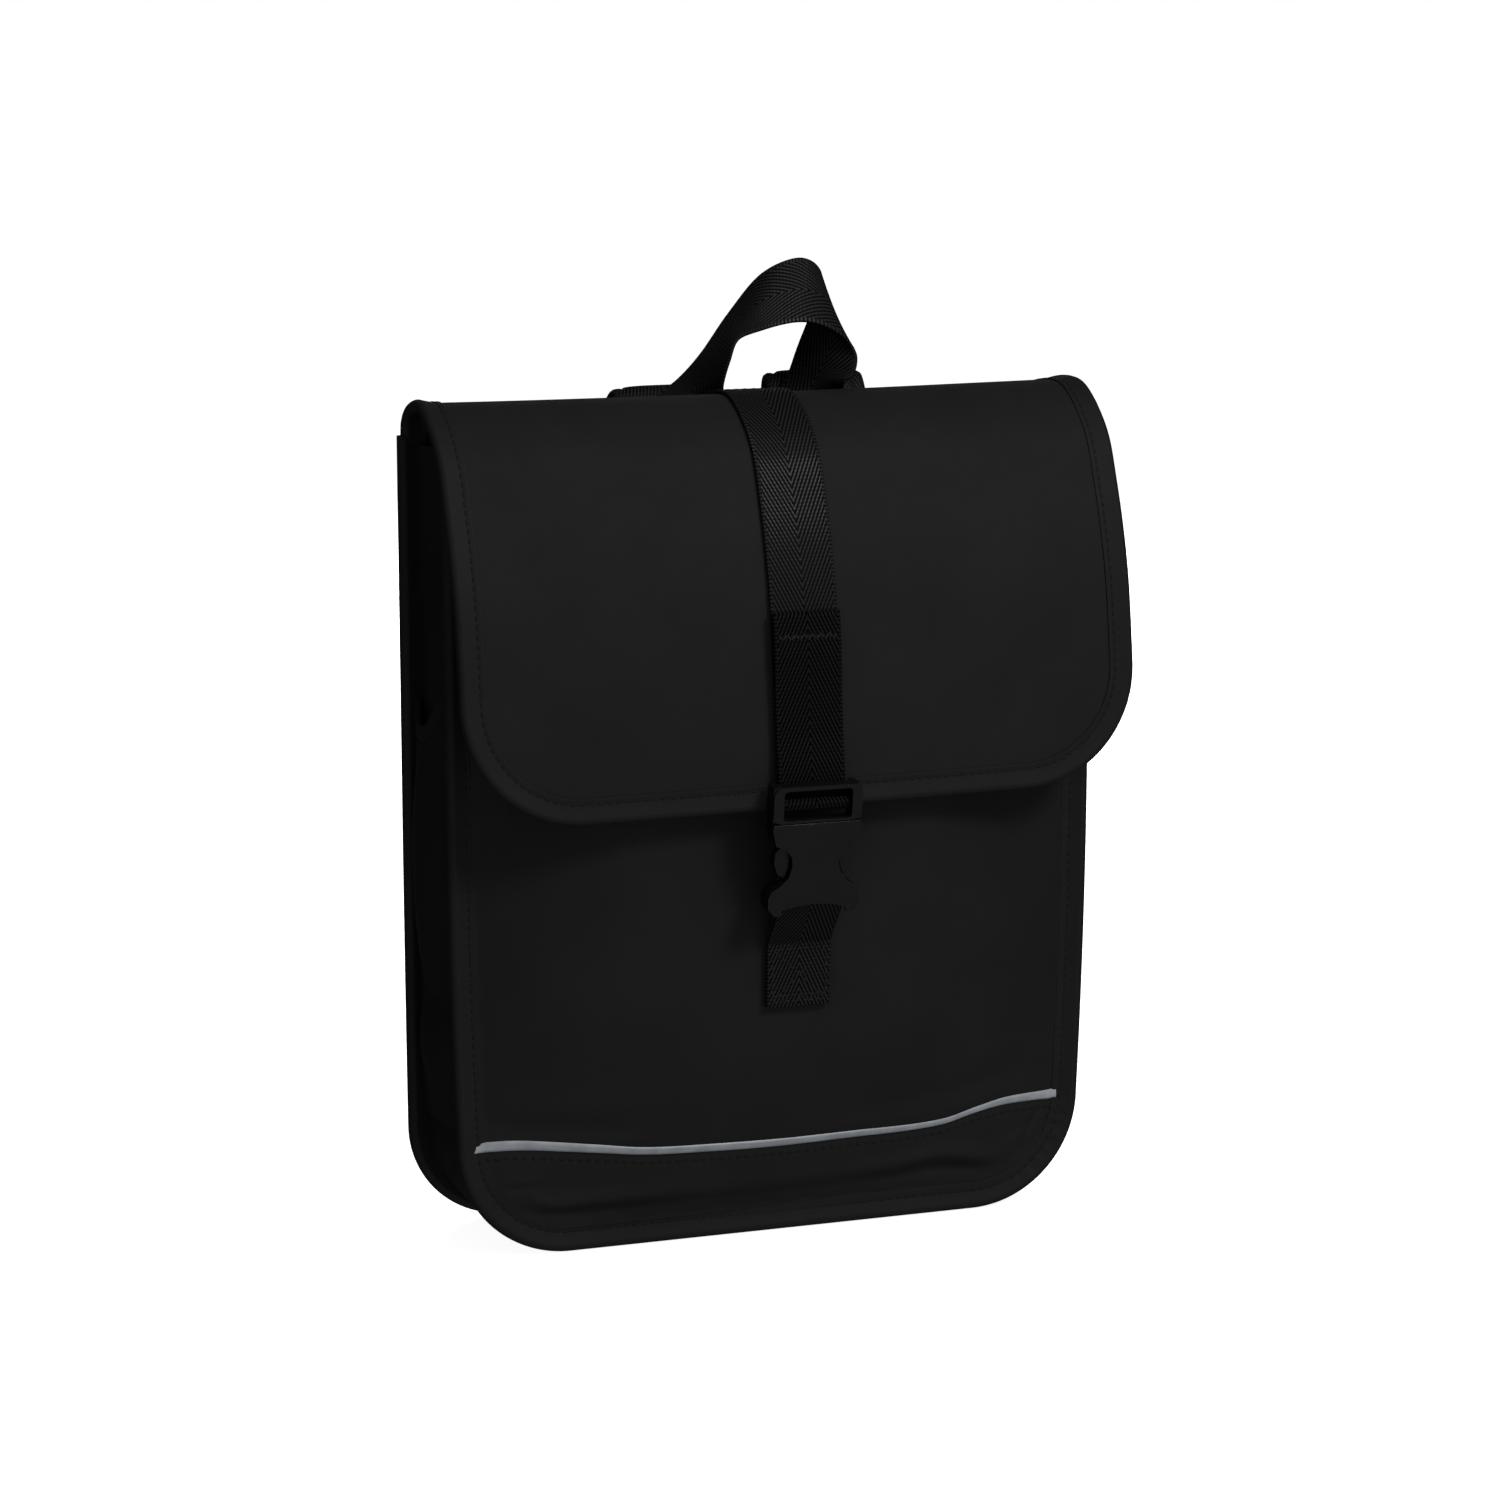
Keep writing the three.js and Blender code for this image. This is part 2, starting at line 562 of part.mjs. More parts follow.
const SOCKET = [
  { x: 18.7, z: 0 },
  { x: 19, z: -2.2 },
  { x: 17.4, z: -8.8 },
  { x: 12.8, z: -10.8 },
  { x: 10.3, z: -14 },
  { x: 10, z: -18 },
  { x: 11.4, z: -22.6 },
  { x: 14.5, z: -25.8 },
  { x: 18.6, z: -28.2 },
  { x: 19.9, z: -31.2 },
  { x: 19.7, z: -35.4 },
  { x: 17, z: -38.6 },
];
const SOCKET_THICKNESS = 9;
const SOCKET_WALL = 1.5;
const SOCKET_BORE = { halfWidth: 14.9, depth: 25.4 };
const LOOP_ROOM = { halfWidth: 15.5, low: -40, high: -28.9, front: -3.2, back: 6 };
const LIP_NOTCH = { halfWidth: 13.8, low: -40, ends: -36.2, middle: -34.2, front: -6, back: -3 };
const LOOP_BAR = { y: 0, z: -33.5, radius: 1.1 };
const SIDES_OF_BAR = 10;

// A plate whose outline lies in XZ, from `front` to `back` in y.
function plate(shape, front, back) {
  const options = { depth: back - front, bevelEnabled: false, curveSegments: 4 };
  const geometry = new THREE.ExtrudeGeometry(shape, options);
  return geometry.rotateX(Math.PI / 2).translate(0, back, 0);
}

const middlePlate = (shape, thickness) => plate(shape, -thickness / 2, thickness / 2);

const mirroredShape = (rows) =>
  new THREE.Shape([
    ...rows.map(({ x, z }) => new THREE.Vector2(x, z)),
    ...rows.map(({ x, z }) => new THREE.Vector2(-x, z)).reverse(),
  ]);

function roundedRectangle({ left, right, low, high, corner }, PathType) {
  const path = new PathType();
  path.moveTo(right - corner, low);
  path.quadraticCurveTo(right, low, right, low + corner);
  path.lineTo(right, high - corner);
  path.quadraticCurveTo(right, high, right - corner, high);
  path.lineTo(left + corner, high);
  path.quadraticCurveTo(left, high, left, high - corner);
  path.lineTo(left, low + corner);
  path.quadraticCurveTo(left, low, left + corner, low);
  return path;
}

const inTheMiddle = (size) => ({ ...size, left: -size.halfWidth, right: size.halfWidth });

// A round bar across X.
function crossBar({ y, z, radius }, halfLength) {
  const bar = new THREE.CylinderGeometry(radius, radius, 2 * halfLength, SIDES_OF_BAR);
  return bar.rotateZ(Math.PI / 2).translate(0, y, z);
}

function block({ halfWidth, low, high, front, back }) {
  const box = new THREE.BoxGeometry(2 * halfWidth, back - front, high - low);
  return box.translate(0, (front + back) / 2, (low + high) / 2);
}

function maleBuckle() {
  const outline = roundedRectangle(inTheMiddle(FRAME), THREE.Shape);
  outline.holes.push(roundedRectangle(inTheMiddle(WINDOW), THREE.Path));
  const frame = plate(outline, FRAME.front, FRAME.back);
  const inner = FRAME.halfWidth - FRAME_SIDE.width;
  const sides = [inner, -FRAME.halfWidth].map((left) => {
    const size = { ...FRAME, left, right: left + FRAME_SIDE.width, corner: FRAME_SIDE.corner };
    return plate(roundedRectangle(size, THREE.Shape), FRAME.front + 1, FRAME_SIDE.back);
  });
  const rightProng = new THREE.Shape(PRONG.map(({ x, z }) => new THREE.Vector2(x, z)));
  const leftProng = new THREE.Shape(PRONG.map(({ x, z }) => new THREE.Vector2(-x, z)));
  const guide = block({
    halfWidth: GUIDE.halfWidth,
    low: -GUIDE.length,
    high: 1,
    front: -GUIDE.thickness / 2,
    back: GUIDE.thickness / 2,
  });
  const prongs = [rightProng, leftProng].map((shape) => middlePlate(shape, PRONG_THICKNESS));
  return joined(frame, ...sides, crossBar(WRAP_BAR, WINDOW.halfWidth + 1), ...prongs, guide);
}

function femaleBuckle() {
  const half = SOCKET_THICKNESS / 2;
  const bore = block({
    halfWidth: SOCKET_BORE.halfWidth,
    low: -SOCKET_BORE.depth,
    high: 1,
    front: SOCKET_WALL - half,
    back: half - SOCKET_WALL,
  });
  const body = middlePlate(mirroredShape(SOCKET), SOCKET_THICKNESS);
  const { halfWidth, low, ends, middle, front, back } = LIP_NOTCH;
  const arch = new THREE.Shape();
  arch.moveTo(halfWidth, low);
  arch.lineTo(halfWidth, ends);
  arch.quadraticCurveTo(0, 2 * middle - ends, -halfWidth, ends);
  arch.lineTo(-halfWidth, low);
  const hollow = cutBy(body, bore, block(LOOP_ROOM), plate(arch, front, back));
  return joined(hollow, crossBar(LOOP_BAR, LOOP_ROOM.halfWidth + 1));
}

const buckle = new THREE.Group();
buckle.position.set(0, BUCKLE_AT.y, BUCKLE_AT.z);
buckle.rotation.x = THREE.MathUtils.degToRad(BUCKLE_AT.tilt);
buckle.updateMatrixWorld(true);
bag.add(buckle);
piece("buckle_male", maleBuckle(), plastic, buckle);
piece("buckle_female", femaleBuckle(), plastic, buckle);

// Where the middle of a bar of the buckle lies in the bag, as [y, z].
function barInBag({ y, z }) {
  const at = buckle.localToWorld(new THREE.Vector3(0, y, z));
  return [at.y, at.z];
}

// Closing strap: from the back seam over the flap, round the male half's bar, and up again as a tail

const STRAP_START = 27; // distance along the flap where the strap is sewn on
const TAIL_TOP = 265;
const OVER_BINDING = (FLAP_BINDING_THICKNESS - CLOTH) / 2; // the flap's binding stands out this far
const onFlap = (s, above) => {
  const at = flapFace(0, s).addScaledVector(flapOut(0, s), above);
  return [at.y, at.z];
};
const STRAP_CLEARANCE = 0.55; // a little more than GAP, because strap and flap bend together
const layFlat = STRAP_CLEARANCE + WEBBING / 2;
const layerStep = WEBBING + GAP;

function closingStrap() {
  const bar = barInBag(WRAP_BAR);
  const wrap = WRAP_BAR.radius + GAP + WEBBING / 2;
  const lastOnFlap = FLAP_LENGTH - 6;
  const overEdge = (s) => OVER_BINDING * smooth((s - (FLAP_LENGTH - 32)) / 18);
  const down = spaced(STRAP_START, lastOnFlap, 36).map((s) => onFlap(s, layFlat + overEdge(s)));
  const low = down.filter(([, z]) => z > bar[1] + 4.5);
  const up = down.filter(([y, z]) => y < 0 && z < TAIL_TOP && z > bar[1] + 6);
  const outward = ([y, z], n, all) => {
    const [next, last] = [all[Math.min(n + 1, all.length - 1)], all[Math.max(n - 1, 0)]];
    const length = Math.hypot(next[0] - last[0], next[1] - last[1]);
    return [y + ((next[1] - last[1]) / length) * layerStep, z - ((next[0] - last[0]) / length) * layerStep];
  };
  const tail = up.map(outward).reverse();
  return flatWebbing([...low, ...arcPoints(bar, wrap, 0, -260, 10), ...tail], STRAP_WIDTH, WEBBING);
}
piece("flap_strap", closingStrap(), webbing);

// Lower strap: a loop through the socket's bar, both layers sewn to the front panel

const STITCHED = { low: 103, high: 130 };
const STUB_WEBBING = 1.4;

function lowerStrap() {
  const bar = barInBag(LOOP_BAR);
  const wrap = LOOP_BAR.radius + GAP + STUB_WEBBING / 2;
  const onPanel = (z, layer) => {
    const out = GAP + STUB_WEBBING / 2 + layer * (STUB_WEBBING + GAP);
    return [frontFace(0, z).y - out, z];
  };
  const heights = spaced(STITCHED.low, STITCHED.high, 3);
  const front = heights.map((z) => onPanel(z, 1));
  const back = heights.map((z) => onPanel(z, 0)).reverse();
  const [y, z] = onPanel(STITCHED.high, 0.5);
  const lean = (Math.atan2(bar[1] - z, bar[0] - y) * 180) / Math.PI;
  const loop = arcPoints(bar, wrap, lean + 90, lean - 90, 7);
  return flatWebbing([...front, ...loop, ...back], STRAP_WIDTH - 1, STUB_WEBBING);
}
piece("buckle_strap", lowerStrap(), webbing);

// Ribbons in space: each row is the middle of a cross-section and the direction across it

const smoothLine = (rows, keys) => {
  const points = rows.map((row) => new THREE.Vector3(...keys.map((key) => row[key])));
  return new THREE.CatmullRomCurve3(points, false, "centripetal");
};

function ribbonFrames(rows, steps) {
  const middles = smoothLine(rows, ["x", "y", "z"]);
  const rulings = smoothLine(rows, ["rx", "ry", "rz"]);
  return spaced(0, 1, steps).map((t) => {
    const across = rulings.getPoint(t).normalize();
    return { origin: middles.getPoint(t), a: across, b: middles.getTangent(t).cross(across).normalize() };
  });
}

const band = (width, thickness) => [
  [-width / 2, -thickness / 2],
  [width / 2, -thickness / 2],
  [width / 2, thickness / 2],
  [-width / 2, thickness / 2],
];

// Carry handle: sewn flat to the back at both ends, leaning to the right, its front edge dropping at the top
const HANDLE = [
  { x: -18, y: 38.7, z: 308, rx: 1, ry: 0, rz: 0 },
  { x: -17, y: 39.3, z: 333, rx: 1, ry: 0, rz: 0 },
  { x: -13.5, y: 39.5, z: 343, rx: 0.88, ry: -0.47, rz: 0.1 },
  { x: -8.3, y: 38, z: 350, rx: 0.36, ry: -0.93, rz: 0 },
  { x: -2, y: 36, z: 361, rx: 0.06, ry: -1, rz: -0.02 },
  { x: 6, y: 35, z: 374, rx: -0.2, ry: -0.94, rz: -0.28 },
  { x: 19.8, y: 35, z: 384.3, rx: -0.22, ry: -0.62, rz: -0.75 },
  { x: 36.7, y: 35, z: 388.3, rx: -0.1, ry: -0.5, rz: -0.86 },
  { x: 48.8, y: 35, z: 382.5, rx: 0.1, ry: -0.52, rz: -0.85 },
  { x: 51.5, y: 35.5, z: 371, rx: 0.42, ry: -0.6, rz: -0.68 },
  { x: 48, y: 36, z: 359, rx: 0.55, ry: -0.73, rz: -0.4 },
  { x: 44, y: 38, z: 350, rx: 0.58, ry: -0.81, rz: 0 },
  { x: 40.5, y: 39.5, z: 343, rx: 0.88, ry: -0.47, rz: 0.1 },
  { x: 37.8, y: 39.3, z: 333, rx: 1, ry: 0, rz: 0 },
  { x: 37, y: 38.7, z: 308, rx: 1, ry: 0, rz: 0 },
];
piece("handle", sweep(ribbonFrames(HANDLE, 42), band(HANDLE_WIDTH, WEBBING)), webbing);

// Shoulder straps: padded, sewn to the back over the handle's ends, arching back and hanging down behind
const SHOULDER_STRAP = [
  { x: 34, y: 41.8, z: 300, half: 21, thick: 3 },
  { x: 34, y: 42.4, z: 316, half: 21.5, thick: 3.2 },
  { x: 34, y: 48.8, z: 332, half: 22, thick: 4.5 },
  { x: 34, y: 55.2, z: 343, half: 22, thick: 5.5 },
  { x: 34.5, y: 61, z: 344.5, half: 22, thick: 6 },
  { x: 36, y: 65, z: 336, half: 22.5, thick: 6.5 },
  { x: 40, y: 66.5, z: 312, half: 23.5, thick: 7 },
  { x: 49, y: 65, z: 268, half: 25, thick: 7 },
  { x: 60, y: 61, z: 218, half: 25, thick: 7 },
  { x: 71, y: 55.5, z: 170, half: 23.5, thick: 7 },
  { x: 80, y: 50.5, z: 130, half: 21, thick: 6.5 },
];
const TOP_SHIFT = 16; // both straps lean this far to the right where they come up behind the top edge
const RIGHT_RISE = 4.5; // the right-hand strap stands this much higher there
const SHIFT_FADES_AT = 268;

// Rows of a right-hand ribbon moved to one side of the bag.
const onSide = (rows, side) =>
  rows.map((row) => {
    const nearTop = smooth((row.z - SHIFT_FADES_AT) / 40);
    const x = side * row.x + TOP_SHIFT * nearTop;
    const z = row.z + (side > 0 ? RIGHT_RISE * nearTop : 0);
    return { ...row, x, z, rx: 1, ry: 0, rz: 0 };
  });
const padSection = (half, thick) => [
  [-half, 0],
  [-half + 3, -thick / 2],
  [half - 3, -thick / 2],
  [half, 0],
  [half - 3, thick / 2],
  [-half + 3, thick / 2],
];

function shoulderStrap(side) {
  const rows = onSide(SHOULDER_STRAP, side);
  const steps = 22;
  const rowAt = (n, key) => {
    const at = (n / steps) * (rows.length - 1);
    const low = Math.min(Math.floor(at), rows.length - 2);
    return rows[low][key] + (rows[low + 1][key] - rows[low][key]) * (at - low);
  };
  return sweep(ribbonFrames(rows, steps), (n) => padSection(rowAt(n, "half"), rowAt(n, "thick")));
}

// Lower webbing of a shoulder strap: from under its end, through a slider, to the lower back corner
const LOWER_WEBBING_WIDTH = 25;
const SLIDER_AT = { x: 88.2, y: 45.7, z: 103 };
const LOWER_END = { x: 111, y: 36.2, z: 30 };
const PAD_END = SHOULDER_STRAP[SHOULDER_STRAP.length - 1];
const SLIDER = { halfWidth: 16.5, low: -12, high: 12, corner: 4, thickness: 3 };
const SLIDER_SLOT = { halfWidth: 13.4, low: 2.2, high: 8.8, corner: 0.8 };

// Frame of the slider on one side: a across, b out of the back, c up along the webbing.
function sliderFrame(side) {
  const [dx, dy, dz] = ["x", "y", "z"].map((key) => PAD_END[key] - LOWER_END[key]);
  const along = new THREE.Vector3(side * dx, dy, dz).normalize();
  const out = new THREE.Vector3(0, 1, 0).addScaledVector(along, -along.y).normalize();
  const across = new THREE.Vector3().crossVectors(out, along);
  const origin = new THREE.Vector3(side * SLIDER_AT.x, SLIDER_AT.y, SLIDER_AT.z);
  return { origin, across, out, along };
}

function strapSlider(side) {
  const { origin, across, out, along } = sliderFrame(side);
  const lowerSlot = { ...SLIDER_SLOT, low: -SLIDER_SLOT.high, high: -SLIDER_SLOT.low };
  const slots = [SLIDER_SLOT, lowerSlot].map((slot) => roundedRectangle(inTheMiddle(slot), THREE.Path));
  const outline = roundedRectangle(inTheMiddle(SLIDER), THREE.Shape);
  outline.holes.push(...slots);
  const toBag = new THREE.Matrix4().makeBasis(across, out, along).setPosition(origin);
  return middlePlate(outline, SLIDER.thickness).applyMatrix4(toBag);
}

// How far the webbing stands out of the slider's plane, at distance c up from the slider's middle.
const WEAVE = [
  { c: -16, out: -2.7 },
  { c: -8.4, out: -2.7 },
  { c: -2.6, out: 2.7 },
  { c: 2.6, out: 2.7 },
  { c: 8.4, out: -2.7 },
  { c: 15, out: -2.9 },
  { c: 26, out: -3.9 },
  { c: 39, out: -3.9 },
];

function lowerWebbing(side) {
  const { origin, across, out, along } = sliderFrame(side);
  const woven = WEAVE.map((row) =>
    origin.clone().addScaledVector(along, row.c).addScaledVector(out, row.out),
  );
  const end = new THREE.Vector3(side * LOWER_END.x, LOWER_END.y, LOWER_END.z);
  const sewn = end.clone().add(new THREE.Vector3(side * 6.5, 0, -15));
  const points = [sewn, end, ...woven];
  const frames = points.map((point, n) => {
    const next = points[Math.min(n + 1, points.length - 1)];
    const last = points[Math.max(n - 1, 0)];
    const t = next.clone().sub(last).normalize();
    return { origin: point, a: across, b: t.cross(across).normalize() };
  });
  return sweep(frames, band(LOWER_WEBBING_WIDTH, WEBBING));
}

for (const [name, side] of [
  ["left", -1],
  ["right", 1],
]) {
  piece(`shoulder_strap_${name}`, shoulderStrap(side), cloth);
  piece(`strap_slider_${name}`, strapSlider(side), plastic);
  piece(`strap_webbing_${name}`, lowerWebbing(side), webbing);
}

export default bag;
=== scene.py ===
# A flap-over laptop backpack: sewn cloth, bindings, webbing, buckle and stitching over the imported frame.
import json
import math

import bpy
import numpy as np
from mathutils import Matrix, Vector

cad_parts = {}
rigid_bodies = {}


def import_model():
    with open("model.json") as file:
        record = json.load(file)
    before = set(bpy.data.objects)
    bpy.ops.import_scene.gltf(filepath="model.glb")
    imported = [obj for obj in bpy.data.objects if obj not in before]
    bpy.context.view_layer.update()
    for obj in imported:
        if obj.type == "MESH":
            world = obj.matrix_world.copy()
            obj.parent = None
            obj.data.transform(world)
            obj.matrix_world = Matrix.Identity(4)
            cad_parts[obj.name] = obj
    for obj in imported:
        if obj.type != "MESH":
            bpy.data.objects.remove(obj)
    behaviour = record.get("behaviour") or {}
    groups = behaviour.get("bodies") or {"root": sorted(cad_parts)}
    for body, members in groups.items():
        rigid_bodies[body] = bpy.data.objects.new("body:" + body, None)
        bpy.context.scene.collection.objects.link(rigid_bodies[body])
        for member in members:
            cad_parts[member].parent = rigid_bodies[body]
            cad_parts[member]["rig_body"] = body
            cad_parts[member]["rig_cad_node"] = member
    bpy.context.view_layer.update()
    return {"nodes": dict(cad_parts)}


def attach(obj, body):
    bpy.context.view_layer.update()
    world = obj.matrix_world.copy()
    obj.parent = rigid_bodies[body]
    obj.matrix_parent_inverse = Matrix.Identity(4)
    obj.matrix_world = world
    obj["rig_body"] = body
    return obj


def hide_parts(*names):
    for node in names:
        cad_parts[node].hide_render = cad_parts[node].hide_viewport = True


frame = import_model()

# Sizes in millimetres, in the frame of the part
MM = 0.001
CLOTH = 2.0
EDGE_PLANE = 31.0
TAPER_HEIGHT = 140.0
FRONT_TOP = 318.0
BACK_TOP = 330.5
GUSSET_TOP = 330.0
SEAM_LEVEL = 46.0
SEAM_END_HEIGHT = 45.5
SEAM_SAG = 5.0
BINDING_WIDTH = 11.5
BINDING_THICKNESS = 6.0
BINDING_TAPE = 0.9
EDGE_TUCK = 2.8
FRONT_CROWN = 25.0
SIDE_SWELL = 85.0
BACK_PADDING = 4.2
PADDING_RISE = 26.0
WEBBING = 1.5
WEBBING_EDGE = 0.35
STRAP_WIDTH = 28.5
HANDLE_WIDTH = 30.0
PAD_WEAVE_WIDTH = 48.0
FLAP_CORNER_RADIUS = 50.0
FLAP_BINDING_WIDTH = 11.0
FLAP_BINDING_THICKNESS = 5.0
FLAP_BACK_HALF_WIDTH = 140.5
FLAP_FRONT_HALF_WIDTH = 145.2
FLAP_STITCH_INSET = 8.6
STITCH_PITCH = 3.8
STITCH_REACH = 0.8
THREAD_STANDS = 0.1
SMOOTH_CLOTH = 40
SMOOTH_FOLDS = 60


# Number helpers
def clamp01(t):
    return np.clip(t, 0.0, 1.0)


def ease(t):
    return np.sin(np.pi / 2 * clamp01(t))


def smooth(t):
    t = clamp01(t)
    return t * t * (3 - 2 * t)


def share_of(t):
    """A grid coordinate, from -1 to 1, as a share from 0 to 1."""
    return (t + 1) / 2


def step_of(t, steps):
    """The row or column of a grid coordinate, counted from 0."""
    return np.rint(share_of(t) * steps).astype(int)


def unit(rows):
    return rows / np.linalg.norm(rows, axis=-1, keepdims=True)


def graph(*rows):
    """A smooth function through rows of (where, value)."""
    at, value = np.array(rows, float).T
    slope = np.gradient(value, at)
    slope[1:-1] = (value[2:] - value[:-2]) / (at[2:] - at[:-2])

    def read(where):
        where = np.clip(where, at[0], at[-1])
        n = np.clip(np.searchsorted(at, where, side="right") - 1, 0, len(at) - 2)
        span = at[n + 1] - at[n]
        t = (where - at[n]) / span
        rise = value[n + 1] - value[n]
        bend_in = slope[n] * span - rise
        bend_out = rise - slope[n + 1] * span
        return value[n] + rise * t + t * (1 - t) * (bend_in * (1 - t) + bend_out * t)

    return read


def curve_through(points, share):
    """Points at shares (0 to 1) of a smooth curve through the given points, spread evenly over its rows."""
    points = np.array(points, float)
    padded = np.vstack([2 * points[0] - points[1], points, 2 * points[-1] - points[-2]])
    at = np.clip(share, 0, 1) * (len(points) - 1)
    n = np.minimum(at.astype(int), len(points) - 2)
    t = (at - n)[:, None]
    a, b, c, d = (padded[n + k] for k in range(4))
    return 0.5 * (2 * b + (c - a) * t + (2 * a - 5 * b + 4 * c - d) * t**2 + (3 * b - a - 3 * c + d) * t**3)


def run_along(points):
    """The distance of each point of a polyline from its start."""
    return np.concatenate([[0], np.cumsum(np.linalg.norm(np.diff(points, axis=0), axis=1))])


def read_along(at, run, rows):
    """The rows of a polyline, read at distances from its start."""
    return np.stack([np.interp(at, run, rows[:, k]) for k in range(rows.shape[1])], axis=-1)


def along_line(points, steps):
    """The polyline resampled at even distances, and its length."""
    points = np.array(points, float)
    run = run_along(points)
    return read_along(np.linspace(0, run[-1], steps + 1), run, points), run[-1]


def strokes(x, z, rows):
    """Dents and swellings in cloth: soft strokes of one place, length, width, turn and depth each."""
    total = np.zeros_like(x)
    for at_x, at_z, length, width, turn, depth in rows:
        c, s = math.cos(math.radians(turn)), math.sin(math.radians(turn))
        along = ((x - at_x) * c + (z - at_z) * s) / length
        across = ((z - at_z) * c - (x - at_x) * s) / width
        total += depth * np.exp(-(along**2) - across**2)
    return total


# Modelling helpers
def deselect_all():
    if bpy.context.mode != "OBJECT":
        bpy.ops.object.mode_set(mode="OBJECT")
    bpy.ops.object.select_all(action="DESELECT")


def only(piece):
    deselect_all()
    piece.select_set(True)
    bpy.context.view_layer.objects.active = piece


def modify(piece, kind, **settings):
    only(piece)
    modifier = piece.modifiers.new(kind, kind)
    for key, value in settings.items():
        setattr(modifier, key, value)
    bpy.ops.object.modifier_apply(modifier=modifier.name)


def bevel(piece, width, segments, degrees, **settings):
    settings["angle_limit"] = math.radians(degrees)
    modify(piece, "BEVEL", width=width * MM, segments=segments, limit_method="ANGLE", **settings)


def smooth_shaded(piece, degrees):
    only(piece)
    bpy.ops.object.shade_smooth_by_angle(angle=math.radians(degrees))


def thicken(piece, thickness, offset=-1.0, group=None):
    settings = {"thickness": thickness * MM, "offset": offset, "use_even_offset": group is None}
    if group:
        settings["vertex_group"] = group
    modify(piece, "SOLIDIFY", **settings)


def cloth_grid(name, columns, rows, place):
    """A grid whose corners (u, v), each from -1 to 1, are moved to place(u, v) in millimetres."""
    deselect_all()
    bpy.ops.mesh.primitive_grid_add(x_subdivisions=columns, y_subdivisions=rows, size=2)
    piece = bpy.context.active_object
    piece.name = name
    piece.data.name = name
    flat = np.empty(len(piece.data.vertices) * 3)
    piece.data.vertices.foreach_get("co", flat)
    placed = np.column_stack(place(flat[0::3], flat[1::3])) * MM
    piece.data.vertices.foreach_set("co", placed.ravel())
    piece.data.update()
    return piece


def cloth_sheet(name, columns, rows, place, thickness, degrees=SMOOTH_CLOTH):
    """A placed grid that is given its thickness inwards."""
    piece = cloth_grid(name, columns, rows, place)
    thicken(piece, thickness)
    smooth_shaded(piece, degrees)
    return piece


def dress(piece, material, slot, *nodes):
    piece.data.materials.clear()
    piece.data.materials.append(material)
    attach(piece, "root")
    if nodes:
        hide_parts(*nodes)
    return piece


def stitch_row(name, path, out, material, pitch=STITCH_PITCH, length=2.9, width=0.85, height=0.7):
    """A row of thread stitches along a path on the cloth, which faces out once for all or at each point."""
    path = np.array(path, float)
    out = np.broadcast_to(np.array(out, float), path.shape)
    run = run_along(path)
    deselect_all()
    bpy.ops.mesh.primitive_uv_sphere_add(segments=8, ring_count=6, radius=0.5)
    model = bpy.context.active_object
    bpy.ops.object.mode_set(mode="EDIT")
    bpy.ops.transform.resize(value=(length * MM, width * MM, height * MM))
    bpy.ops.object.mode_set(mode="OBJECT")
    copies = []
    for at in np.arange(pitch / 2, run[-1] - pitch / 4, pitch):
        near = (at - STITCH_REACH, at, at + STITCH_REACH)
        behind, middle, ahead = (Vector(point) for point in read_along(near, run, path))
        forward = (ahead - behind).normalized()
        side = Vector(read_along(at, run, out)).normalized().cross(forward).normalized()
        turn = Matrix((forward, side, forward.cross(side))).transposed().to_4x4()
        copy = model.copy()
        copy.data = model.data.copy()
        copy.matrix_world = Matrix.Translation(middle * MM) @ turn
        bpy.context.scene.collection.objects.link(copy)
        copies.append(copy)
    bpy.data.objects.remove(model)
    only(copies[0])
    for copy in copies:
        copy.select_set(True)
    bpy.ops.object.join()
    row = bpy.context.active_object
    bpy.ops.object.transform_apply(location=True, rotation=True, scale=True)
    row.name = name
    row.data.name = name
    bpy.ops.object.shade_smooth()
    return dress(row, material, "webbing")


